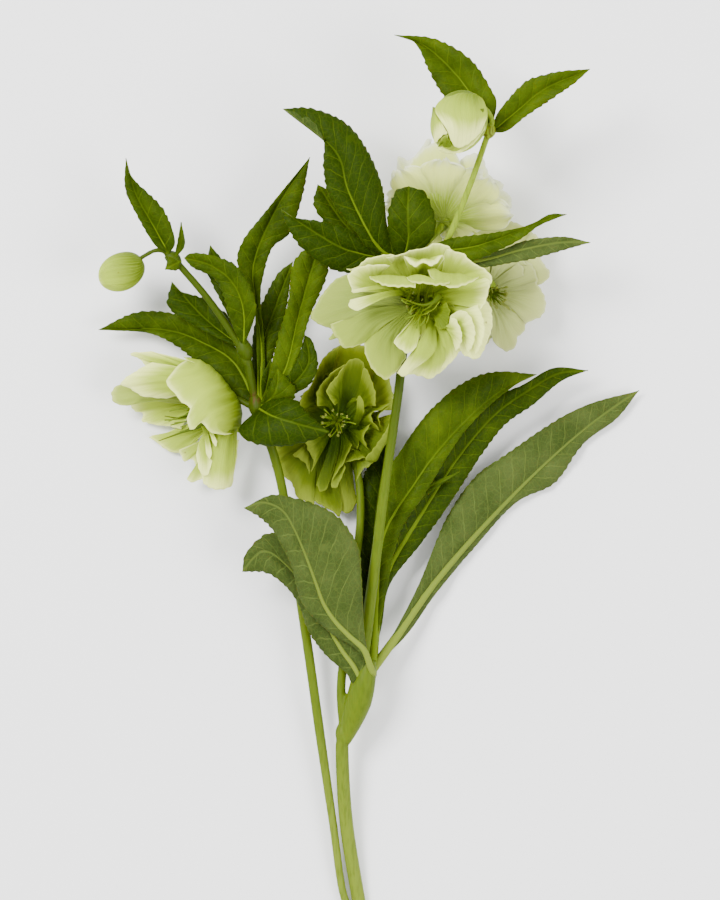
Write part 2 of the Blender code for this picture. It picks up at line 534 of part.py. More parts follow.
def centre_shapes(receptacle, facing, roll):
    """The seed cases and the ring of stamens of one bloom."""
    frame = bloom_frame(facing, roll)
    middle = np.array(receptacle)
    foot = CORE_HALF_HEIGHT + CLEARANCE
    lines = [([(0, 0, foot), (0, 0, foot + 3.0)], (1.9, 1.7), 8)]
    for k in range(3):
        turn = 2 * math.pi * k / 3
        x, y = math.cos(turn), math.sin(turn)
        lines.append(([(0.6 * x, 0.6 * y, foot + 1), (1.4 * x, 1.4 * y, foot + 7),
                       (1.9 * x, 1.9 * y, foot + 12)], (1.1, 1.0, 0.45), 5))
    for k in range(STAMENS):
        turn = 2 * math.pi * (k + 0.5) / STAMENS
        x, y = math.cos(turn), math.sin(turn)
        reach = 2.6 + 0.9 * (k % 2)
        lines.append(([(1.0 * x, 1.0 * y, foot + 1.2), (1.8 * x, 1.8 * y, foot + 4),
                       (reach * x, reach * y, foot + 9)], (0.5, 0.45, 0.6), 3))
    shapes = []
    for route, radii, sides in lines:
        corners, faces = tube(route, radii, len(route), sides)
        shapes.append((corners @ frame.T + middle, faces))
    return shapes


def build():
    """Model every piece of the flower."""
    remove_everything()
    leaf = material("leaf_green", LEAF_GREEN, 0.45)
    stem_finish = material("stem_green", STEM_GREEN, 0.5)
    cream = material("petal_cream", PETAL_CREAM, 0.55)
    white = material("petal_white", PETAL_WHITE, 0.55)
    green = material("petal_green", PETAL_GREEN, 0.55)
    stamens = material("stamen_green", STAMEN_GREEN, 0.55)

    fuse("stem", [tube(route, radii, rings) for route, radii, rings in STEMS], stem_finish)
    wider = [tube(route, [r + CLEARANCE for r in radii], rings) for route, radii, rings in STEMS]
    cutter = fuse("stem_cutter", wider, stem_finish)
    cutter.hide_render = True
    cutter.display_type = "WIRE"

    bracts = (("lower", LOWER_BRACT), ("left_lower", LEFT_LOWER_BRACT),
              ("left_upper", LEFT_UPPER_BRACT), ("bud_b", BUD_B_BRACT),
              ("middle", MIDDLE_BRACT), ("top", TOP_BRACT))
    for name, leaves in bracts:
        shapes = [tube(*FEET[name])]
        shapes += [sheet(leaf_grid(*spec), LEAF_THICKNESS) for spec in leaves]
        fuse("bract_" + name, shapes, leaf, cutter)

    finishes = {"centre": green, "back_top": white, "back_right": white}
    for name, (receptacle, facing, roll, petals) in BLOOMS.items():
        finish = finishes.get(name, cream)
        fuse(f"bloom_{name}_petals", bloom_shapes(receptacle, facing, roll, petals), finish,
             cutter)
        fuse(f"bloom_{name}_centre", centre_shapes(receptacle, facing, roll), stamens)
    for name, spec in BUDS.items():
        fuse("bud_" + name, [bud_shape(*spec)], cream, cutter)
    bpy.data.objects.remove(cutter, do_unlink=True)


build()
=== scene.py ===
"""The looks of a cut flowering stem of a double hellebore, lying on its back.

Shapes are given in millimetres in the plant's own layout, X to the right, Y up the stem and Z away
from the surface, as in the model that this scene dresses. MM turns them into metres, and ORIGIN
moves the layout so that the object's box stands on the origin. The petals, sepals and threads that
were measured on the photograph have X and Y in steps of its grid, and Z in millimetres.
"""

import math

import bpy
import numpy as np
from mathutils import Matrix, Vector


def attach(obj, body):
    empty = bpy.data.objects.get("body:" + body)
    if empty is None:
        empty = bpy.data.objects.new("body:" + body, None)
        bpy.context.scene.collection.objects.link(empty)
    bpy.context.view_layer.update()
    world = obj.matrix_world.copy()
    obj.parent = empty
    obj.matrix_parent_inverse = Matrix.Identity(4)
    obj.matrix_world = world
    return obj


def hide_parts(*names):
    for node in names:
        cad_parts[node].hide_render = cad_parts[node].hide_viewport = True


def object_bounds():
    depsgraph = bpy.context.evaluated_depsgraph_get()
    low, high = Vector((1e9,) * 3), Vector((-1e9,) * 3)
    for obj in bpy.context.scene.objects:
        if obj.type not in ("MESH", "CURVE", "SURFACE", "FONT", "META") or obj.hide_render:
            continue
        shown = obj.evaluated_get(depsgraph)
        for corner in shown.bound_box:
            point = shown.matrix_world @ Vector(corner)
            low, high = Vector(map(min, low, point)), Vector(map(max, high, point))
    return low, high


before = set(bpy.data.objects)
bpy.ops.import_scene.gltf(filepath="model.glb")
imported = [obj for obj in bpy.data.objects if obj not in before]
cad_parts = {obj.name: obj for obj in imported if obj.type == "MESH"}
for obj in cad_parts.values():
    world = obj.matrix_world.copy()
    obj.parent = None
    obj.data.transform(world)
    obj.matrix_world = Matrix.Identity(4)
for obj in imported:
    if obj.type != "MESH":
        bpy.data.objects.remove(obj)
CAD_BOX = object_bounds()

MM = 0.001
ORIGIN = np.array((-0.44, 163.73, 0.0))
GRID_STEP = 0.4
RANDOM_SEED = 7
LEAF_SEEDS = 50
PETAL_SEEDS = 40
TINY = 1e-9
PLAIN = (0.0, 0.0, 0.0)

# Each stem: its route, its radii from root to tip and its number of rings in the model.
MAIN_STEM = (
    ([(-1.6, -18, 2.59), (-2.6, -11, 2.59), (-4.8, 0, 2.59), (-9.6, 30.8, 7.0), (-11.2, 59.6, 11.5),
      (-10, 66, 12.2), (-7.2, 79, 15), (-3.2, 96, 18), (2.4, 137.2, 24.5), (5.6, 162.8, 28),
      (9.2, 188, 31.5), (12.2, 210, 34), (16.8, 255.2, 37)],
     (2.8, 2.8, 2.8, 2.7, 2.8, 2.4, 2.1, 2.0, 1.9, 1.9, 1.9), 16),
    ([(-10.4, 66, 12), (-11.6, 84, 13), (-9.6, 104, 13.5), (-6.8, 128, 13.5), (-3.9, 152, 12),
      (-5.2, 172, 9), (-12.4, 191.6, 8)], (1.9, 1.9, 1.7, 1.6), 9),
    ([(16.8, 255.2, 37), (24, 258.5, 38.5), (30, 262, 40), (40, 286, 44), (47.2, 306.6, 47)],
     (1.7, 1.4, 1.3, 1.3), 7),
    ([(47.2, 306.6, 47), (48.6, 311, 50.5), (46.4, 315, 55), (43.6, 316.6, 57.6)],
     (1.3, 1.1, 1.1), 4),
    ([(16.8, 255.2, 37), (18.4, 249, 42), (19.4, 243.4, 46.4)], (1.6, 1.3), 3),
    ([(16.8, 255.2, 37), (22, 262, 34), (27.2, 267.6, 28), (28.9, 270.6, 26.4)], (1.5, 1.3), 4),
    ([(16.8, 255.2, 37), (26, 251, 29), (36, 247, 16), (43, 245.4, 10)], (1.5, 1.3), 4),
)
SECOND_STEM = (
    ([(-3.4, -9, 2.8), (-10.4, 0, 3.4), (-15, 30.8, 6), (-20, 65.2, 9), (-26.2, 108.8, 13),
      (-35.6, 166.4, 16), (-44.8, 196.4, 20), (-50.5, 222, 23)],
     (1.6, 1.7, 2.0, 2.0, 1.9, 1.9, 1.9), 12),
    ([(-50.5, 222, 23), (-49.6, 214, 22.6), (-53.5, 224, 23.5), (-64.8, 240.4, 25),
      (-76, 253.6, 27), (-80.8, 258.8, 28)], (1.7, 1.7, 1.5, 1.4), 7),
    ([(-80.8, 258.8, 28), (-84, 260, 28.4), (-87.2, 259.4, 28.4), (-92.6, 256.3, 28)],
     (1.1, 0.95, 0.95), 5),
    ([(-45.2, 196, 20), (-50, 198.8, 19.4), (-55, 201.2, 17.4), (-57.4, 201.8, 16.2)],
     (1.4, 1.3, 1.3), 4),
)

# The rounded joints of the two stems: place and radius.
MAIN_KNOTS = (((16.8, 255.2, 37), 2.2), ((47.2, 306.6, 47), 1.8), ((-10.6, 66, 12.2), 3.4))
SECOND_KNOTS = (((-44.8, 197, 20.4), 2.3), ((-50.5, 221.5, 23), 2.1), ((-80.8, 258.8, 28), 1.6))

# Each leaf: rib from root to tip, left and right outline, rise of each edge over the rib.
TOP_BRACT = (
    ([(48, 307, 47), (42.5, 318, 45), (34, 330, 43), (22, 341, 42), (9.6, 345.6, 42)],
     [(41, 311), (30, 320), (22.8, 332), (20.4, 338), (16.8, 343.2)],
     [(50.4, 317.2), (48.8, 322.8), (40.4, 335.6), (26, 344)], (2.5, 2.0)),
    ([(48.2, 306.4, 47), (58, 314.5, 48), (70, 324, 50), (87.6, 331.6, 52)],
     [(51, 314.5), (60.8, 326), (68.4, 329.2), (76, 330.8)],
     [(54.5, 307), (62.8, 313.2), (73.2, 320), (81.6, 326)], (2.0, 2.0)),
)
BUD_B_BRACT = (
    ([(-80.4, 258.4, 30), (-86.6, 269.5, 31), (-93.5, 282, 32), (-97.6, 296.8, 33)],
     [(-86.4, 262.4), (-93.6, 274.4), (-98, 284.8)],
     [(-78, 264), (-82.8, 276.8), (-95.2, 289.2)], (1.5, 1.5)),
    ([(-78.4, 256.5, 30), (-75.8, 262, 31), (-75.5, 271.2, 31)],
     [(-77.3, 262)], [(-74, 262)], (0.5, 0.5)),
    ([(-76, 255.5, 29.6), (-79.5, 253.8, 31), (-82, 252.2, 31)],
     [(-80, 257.5)], [(-77, 252)], (-0.5, -0.5)),
)
LEFT_UPPER_BRACT = (
    ([(-50.6, 221, 25), (-50.6, 236, 31), (-55, 247, 33), (-64, 254, 33), (-74.4, 256.8, 32)],
     [(-55.2, 230), (-59.2, 242.8), (-63.2, 249.2), (-70.8, 252.8)],
     [(-45.6, 235.6), (-47.6, 244.8), (-53.6, 254), (-64, 258), (-71.2, 258.8)], (-1.5, 2.0)),
    ([(-51.9, 223.3, 25.2), (-56.5, 243, 26), (-64, 262, 25)],
     [(-58, 236), (-65.5, 252)], [(-51, 240), (-57.5, 254)], (1.0, 1.0)),
    ([(-51, 221, 21), (-66, 232.5, 17), (-79.6, 247.6, 17)],
     [(-57, 223), (-80, 236)], [(-57, 234), (-67.6, 241.2), (-76, 243.6)], (1.0, 1.0)),
)
LEFT_LOWER_BRACT = (
    ([(-45.4, 198, 17), (-54, 214.5, 12), (-66, 222.6, 10), (-82, 228.2, 9), (-109.2, 228.4, 8)],
     [(-53.2, 199.5), (-61.6, 209.2), (-68.4, 214), (-78.4, 222), (-89.2, 227), (-102.8, 228)],
     [(-49, 214), (-58, 225.2), (-70, 232), (-82.4, 235.6), (-95.2, 235.2)], (1.0, 2.0)),
    ([(-44.4, 198, 22.6), (-43.6, 219, 19.6), (-45.6, 238, 20), (-46.5, 255, 22),
      (-37, 278, 26), (-24, 297.2, 30)],
     [(-45.2, 215), (-46.8, 240), (-53.2, 254.4), (-51, 264), (-43.2, 274)],
     [(-42, 215), (-43.8, 240), (-42.6, 250), (-38.8, 261.2), (-32, 267), (-27, 281)],
     (2.5, 1.0)),
    ([(-44, 198.6, 22.6), (-34, 212, 26), (-29, 232, 28), (-24, 250, 31), (-19, 266, 32)],
     [(-41, 207), (-37.2, 224.4), (-32.8, 239.6), (-30.4, 255.6)],
     [(-33, 207.5), (-28.8, 216), (-24, 233.2), (-16.5, 252)], (1.5, 1.5)),
    ([(-44.6, 200, 18), (-43.4, 220, 17), (-37.6, 238, 17.5), (-31, 255.6, 19)],
     [(-47.2, 215), (-46, 232), (-38, 249.5)],
     [(-40, 214), (-34, 234)], (-1.0, 1.5)),
    ([(-43.1, 199.9, 22.2), (-41, 208, 25.4), (-39.6, 216.6, 26)],
     [(-43.4, 209)], [(-37.4, 206)], (0.5, 0.5)),
    ([(-42.6, 198.6, 21), (-31, 206.5, 26), (-24.6, 215, 28), (-26, 226, 28)],
     [(-34, 209), (-29, 217)], [(-26, 204.6), (-20.8, 213.2), (-22.8, 223.2)], (0.5, 0.5)),
    ([(-43.8, 197, 22.9), (-38, 203, 33), (-36.8, 212.4, 31)],
     [(-42, 201.6), (-39.6, 207)], [(-32, 199), (-29.6, 204), (-32.4, 208)], (-0.5, -1.5)),
    ([(-44.6, 196.6, 23), (-38.6, 193.4, 35), (-28, 190.2, 38.5), (-16.4, 187.2, 35)],
     [(-39, 201), (-29.6, 200), (-25, 195)],
     [(-52.6, 188), (-46, 182.4), (-33.2, 181.4), (-21.2, 184.6)], (-1.5, -3.5)),
)
MIDDLE_BRACT = (
    ([(12.8, 256.4, 40.2), (4.4, 259.6, 42), (-2, 269, 45), (-9, 284, 47), (-14, 299, 47),
      (-34.8, 316, 45)],
     [(-0.4, 260.4), (-6, 267.2), (-16, 280), (-18.8, 292.4), (-18.6, 304), (-24.4, 312.4)],
     [(10, 262), (6.8, 269.6), (5, 285), (-1.2, 300), (-10, 310.8), (-23.6, 316.4)],
     (1.5, -1.5)),
    ([(12.4, 255.2, 38.8), (-4, 258.5, 40), (-15, 262.6, 41.4), (-35.6, 276, 43)],
     [(1, 251.6), (-9, 250.6), (-17, 252.8), (-26, 259.2), (-31.6, 266)],
     [(0, 262), (-10, 269), (-20, 271.4), (-30.4, 272.8)], (-0.5, 1.5)),
    ([(13, 255.6, 40), (15.2, 264, 44), (15, 275, 46), (15.4, 285.2, 42)],
     [(8, 263), (6.8, 273), (10, 283)], [(22, 261), (26.4, 269), (22.6, 282)], (-1.5, -1.5)),
    ([(12, 256, 37.8), (-8, 268, 38.6), (-21, 286, 39)],
     [(-8, 262), (-22, 276)], [(-4, 272), (-15.6, 283)], (0.5, 0.5)),
    ([(18.6, 256.4, 40.4), (30, 259.4, 43), (41, 261, 44), (53, 265, 44.6), (66, 270.6, 44),
      (78.4, 274, 42)],
     [(24, 261), (33, 264.6), (48.8, 266.6), (63.2, 269.6), (71.6, 274)],
     [(34, 255.6), (42.4, 255.6), (58.8, 263.2), (67.6, 269.4)], (0.5, 1.5)),
    ([(18.6, 254.4, 38.6), (30, 254, 39.4), (46, 256, 40.4), (60, 259.8, 40.4), (76, 262.8, 40),
      (88, 262.8, 39)],
     [(36, 257.6), (51.2, 259.6), (62, 263.6), (76.8, 265.2)],
     [(30, 252), (45.6, 252.8), (55.2, 254.4), (65.2, 256.2), (80.4, 260.6)], (1.0, 0.5)),
)
LOWER_BRACT = (
    ([(0.2, 93, 23), (-2.4, 100, 26), (-11.2, 108.4, 29), (-18, 117.4, 31), (-23.5, 132, 33),
      (-29.2, 146, 34.5), (-34.8, 155.6, 35), (-42.6, 159, 34.5), (-50.4, 156.8, 33)],
     [(-6, 100.6), (-17, 107.6), (-27.4, 119), (-31.6, 134), (-37.4, 145.6), (-43, 152)],
     [(-1.6, 102), (-2.6, 112.0), (-2.9, 120), (-3.4, 131), (-4.6, 141.4), (-11.6, 152.4),
      (-20, 157.8), (-31, 161.2), (-40, 162)], (-2.5, 1.0)),
    ([(-3.6, 86.6, 19), (-6.4, 93, 20.6), (-13, 102.4, 22), (-22, 119.6, 23), (-33.6, 134, 25),
      (-43, 139.4, 25), (-51.2, 131.2, 23)],
     [(-7.4, 86.8), (-9.6, 90.6), (-18, 98), (-24.6, 107), (-28.2, 117), (-33, 124.4),
      (-41, 130.4)],
     [(-1, 91), (-1.6, 96.4), (-6, 103.4), (-15, 121), (-27, 140), (-40, 147), (-49.6, 139)],
     (-1.0, 0.5)),
    ([(1, 95, 18), (2.6, 118, 16), (5.6, 146, 16), (17.6, 166, 18), (25.2, 177, 19),
      (36.8, 190, 20), (51, 202.4, 20), (66.8, 210.4, 19)],
     [(0, 120), (2.4, 146), (7, 170), (13.6, 182), (24, 196), (37, 207), (50, 211.6)],
     [(6, 120), (12, 146), (22.6, 163), (35, 183.4), (46, 196), (58.8, 206.4)], (2.5, 0.5)),
    ([(1, 93, 15.6), (4.4, 124.8, 13), (12.4, 140.8, 12), (19, 151.6, 12), (34, 175, 13),
      (50, 194, 14), (66, 205.4, 15), (76, 210.8, 15), (87.6, 212, 14)],
     [(0.4, 125), (5, 146), (14, 164), (28, 184), (44, 199.6), (60, 205.6), (73.6, 213)],
     [(4.8, 110), (8, 126), (20.4, 142), (31.6, 157.6), (44, 176.6), (54, 189.6), (66, 198.4),
      (77, 207.6)], (1.0, -2.0)),
    ([(0.6, 91.4, 15.4), (12.4, 107.4, 10), (22, 121.4, 7), (36, 138.4, 5), (52.4, 156.4, 4.5),
      (68, 172, 4.5), (84, 186.4, 4.5), (99.2, 198, 4.0), (108.4, 204, 3.5)],
     [(11, 109), (19.6, 126), (30.4, 152), (42, 169), (56, 179.4), (72, 190.4), (88, 198.6)],
     [(15, 106), (26, 121.4), (41, 139.4), (58.4, 158.4), (74.8, 166.8), (86, 182.4),
      (99.4, 192.6)], (2.5, -2.0)),
    ([(-0.4, 92.4, 14.8), (1, 120, 9), (2, 150, 7.4), (8, 190, 8)],
     [(-5, 128), (-4, 165)], [(7, 128), (10, 165)], (-1.0, 1.0)),
    ([(4.6, 125.4, 13.0), (8.4, 149.4, 15), (18.8, 161.6, 16), (36, 171.4, 16.5)],
     [(6, 148), (17, 163)], [(10, 147), (21.4, 160.4)], (0.4, 0.4)),
)
BRACTS = {
    "lower": LOWER_BRACT, "left_lower": LEFT_LOWER_BRACT, "left_upper": LEFT_UPPER_BRACT,
    "bud_b": BUD_B_BRACT, "middle": MIDDLE_BRACT, "top": TOP_BRACT,
}

# Each leaf, in the order of its bract: its tone from dark to light, partly its own colour and partly
# painted light and shade, whether its grey underside looks at the camera, and how much its edges wave.
LEAF_LOOKS = {
    "top": ((0.0, False, 1.0), (0.1, False, 1.0)),
    "bud_b": ((-0.3, False, 0.8), (-0.3, False, 0.8), (0.1, False, 0.4)),
    "left_upper": ((-0.2, False, 1.2), (-0.6, False, 1.0), (-0.6, False, 1.0)),
    "left_lower": ((-0.2, False, 1.2), (-0.2, False, 1.0), (0.1, False, 0.8), (-0.3, False, 0.8),
                   (-0.9, False, 0.5), (-0.5, False, 0.6), (-0.2, False, 0.4), (-0.7, False, 0.4)),
    "middle": ((-0.8, False, 1.0), (-0.8, False, 1.0), (-0.4, False, 0.8), (-0.3, False, 0.9),
               (-0.1, False, 1.0), (0.0, True, 1.0)),
    "lower": ((-0.1, True, 1.2), (-0.3, True, 1.2), (-0.1, False, 1.0), (-0.5, False, 1.0),
              (0.0, True, 1.2), (-0.8, False, 1.0), (-0.4, False, 0.6)),
}

# The sleeve-like foot of each bract, round the stem: route, radii and rings in the model.
FEET = {
    "lower": ([(-10.4, 62.4, 12), (-7.4, 71, 13.4), (-4.2, 80, 15.8), (-2, 88, 18), (0, 96, 19)],
              (3.7, 4.7, 5.2, 4.9, 4.2), 7),
    "left_lower": ([(-43.6, 192.4, 19.6), (-45, 197, 20.4), (-46.2, 202, 21)], (3.0, 3.6, 3.0), 4),
    "left_upper": ([(-49, 216, 22.5), (-50.2, 220, 23), (-51.6, 224.4, 23.4)], (2.8, 3.2, 2.8), 4),
    "bud_b": ([(-81.4, 258.4, 28), (-79, 256.8, 27.8), (-76.4, 254, 27.2)], (2.7, 2.9, 2.4), 4),
    "middle": ([(13.8, 250.4, 36.9), (15.2, 253.6, 37.6), (17.2, 257, 38.4)], (3.2, 4.6, 4.4), 4),
    "top": ([(46.4, 304.6, 46.6), (47.2, 306.6, 47), (48, 309.4, 48.6)], (2.5, 2.8, 2.4), 4),
}

# Each bloom: receptacle, the way it faces, and the petals behind as azimuth, length, width, angle
# from the axis at the root and at the tip, and wave.
BLOOMS = {
    "front": ((20.0, 241.5, 48.5), (-0.10, -0.28, 0.95), (
        (188, 43, 27, 82, 62, 1.5), (214, 38, 25, 84, 66, -1.2), (246, 33, 24, 82, 64, 1.0),
        (280, 30, 24, 80, 60, -1.4), (315, 32, 24, 78, 58, 1.2), (350, 29, 24, 74, 52, -1.0),
        (25, 30, 24, 66, 46, 1.0), (62, 27, 22, 58, 38, -1.0), (100, 25, 22, 54, 34, 1.2),
        (140, 30, 22, 64, 44, -1.2), (164, 36, 20, 72, 54, 1.0),
        (200, 30, 14, 62, 40, 1.2), (265, 24, 13, 58, 38, -1.0), (330, 23, 13, 54, 36, 1.0),
        (50, 20, 13, 42, 26, -1.0), (122, 22, 13, 44, 28, 1.0))),
    "left": ((-59.6, 201.6, 16.05), (-0.82, -0.44, 0.38), ()),
    "centre": ((-12.6, 191.6, 10.5), (0.0, -0.05, 1.0), (
        (20, 22, 21, 76, 64, 1.0), (65, 27, 22, 74, 64, -1.0), (108, 30, 22, 76, 68, 1.0),
        (150, 27, 21, 78, 72, -1.0), (190, 27, 21, 78, 72, 1.0), (230, 33, 22, 78, 70, -1.0),
        (268, 36, 23, 78, 68, 1.0), (304, 30, 22, 80, 72, -1.0), (342, 19, 18, 76, 66, 1.0),
        (40, 19, 12, 54, 34, -1.0), (125, 21, 12, 54, 34, 1.0), (215, 21, 12, 54, 34, -1.0),
        (300, 21, 12, 54, 34, 1.0))),
    "back_top": ((29.4, 273.2, 24.85), (0.18, 0.74, -0.62), (
        (350, 31, 23, 66, 50, 1.0), (308, 33, 24, 64, 48, -1.0), (265, 34, 24, 62, 46, 1.0),
        (224, 32, 23, 64, 46, -1.0), (184, 27, 22, 66, 48, 1.0), (125, 24, 21, 66, 50, -1.0),
        (60, 24, 21, 66, 50, 1.0),
        (290, 21, 13, 42, 24, 1.0), (200, 19, 13, 42, 24, -1.0), (90, 17, 13, 42, 24, 1.0))),
    "back_right": ((47.4, 244.4, 11.0), (0.26, -0.12, 0.96), (
        (5, 27, 22, 74, 56, 1.0), (48, 30, 24, 74, 56, -1.0), (92, 30, 24, 74, 58, 1.0),
        (140, 24, 22, 76, 62, -1.0), (190, 22, 21, 78, 64, 1.0), (238, 25, 22, 78, 60, -1.0),
        (282, 27, 22, 76, 58, 1.0), (323, 27, 22, 74, 56, -1.0),
        (25, 19, 12, 52, 34, -1.0), (110, 19, 12, 52, 34, 1.0), (205, 16, 12, 52, 34, -1.0),
        (300, 19, 12, 52, 34, 1.0))),
}

# Each bloom: its kind of petal, how ruffled its petals are, how short the ones behind are, and the
# range of azimuths of those that are kept.
BLOOM_LOOKS = {
    "front": ("cream", 0.25, 0.62, (188, 350)),
    "left": ("cream", 0.25, 0.55, (0, 360)),
    # The centre bloom takes the green petals, darkened as painted shade.
    "centre": ("green", 0.35, 0.55, (0, 360)),
    "back_top": ("white", 0.35, 0.80, (0, 360)),
    "back_right": ("white", 0.35, 0.62, (0, 360)),
}

# The heart of each bloom: the way it points, its length and its number of stamens.
HEARTS = {
    "front": ((-0.15, -0.45, 0.9), 8.0, 10),
    "left": ((-0.86, -0.44, 0.25), 12.0, 18),
    "centre": ((-0.15, -0.05, 1.0), 7.0, 14),
    "back_top": ((0.18, 0.74, -0.62), 8.0, 20),
    "back_right": ((0.36, -0.30, 0.9), 7.0, 26),
}

# Fine threads and long styles that show, from root to tip in grid steps, by bloom.
THREADS = {
    "front": (
        ((52, 594, 57), (46, 585, 62), (35, 580, 63)), ((53, 592, 57), (50, 582, 62), (43, 574, 62)),
        ((50, 593, 57), (44, 590, 62), (38, 586, 62.6)), ((54, 590, 57), (55, 581, 62), (50, 573, 62)),
        ((56, 591, 57), (58, 583, 62), (56, 576, 61.6)), ((48, 596, 57), (38, 595, 62), (31, 599, 63)),
        ((55, 594, 57), (49, 581, 63), (46, 571, 61.6)), ((50, 596, 57), (42, 592, 62.6), (40, 584, 62)),
    ),
    "left": (
        ((-164, 494, 16), (-180, 487, 20), (-202, 479, 17)),
        ((-166, 489, 16), (-184, 482, 19), (-206, 480, 16)),
        ((-164, 486, 16), (-180, 480, 18), (-200, 475, 15)),
        ((-168, 485, 16), (-184, 479, 18), (-196, 477, 14)),
        ((-160, 493, 17), (-176, 492, 21), (-192, 491, 20)),
        ((-162, 481, 16), (-176, 478, 18), (-190, 473, 15)),
        ((-166, 496, 17), (-182, 494, 21), (-201, 489, 19)),
        ((-160, 484, 17), (-172, 482, 19), (-184, 479, 17)),
    ),
    "centre": (
        ((-33, 478, 13), (-40, 482, 17), (-50, 484, 17)), ((-33, 477, 13), (-42, 477, 17), (-52, 475, 17)),
        ((-31, 479, 13), (-28, 483, 17), (-20, 481, 17.6)),
        ((-30, 477, 13), (-22, 478, 17), (-14, 476, 18)), ((-32, 475, 13), (-34, 469, 16), (-40, 463, 15)),
        ((-34, 479, 13), (-42, 487, 17), (-46, 491, 17)),
    ),
}
STYLES = {
    "front": (((37, 596, 54), (39, 604, 60), (41, 611, 64)), ((47, 595, 54), (48, 605, 61), (49, 613, 65)),
              ((55, 595, 54), (56, 604, 60), (59, 611, 64)), ((67, 597, 54), (63, 603, 60), (62, 611, 63)),
              ((70, 603, 62), (62, 596, 64), (50, 594, 64), (30, 601, 63)),
              ((68, 604, 62.6), (60, 593, 65), (52, 588, 64.6))),
    "left": (((-163, 481, 22), (-172, 474, 22), (-196, 465, 20), (-212, 459, 18)),
             ((-178, 487, 17), (-190, 482, 18), (-206, 484, 16))),
    "centre": (((-32, 478, 13), (-30, 474, 18), (-28, 467, 18)),),
}
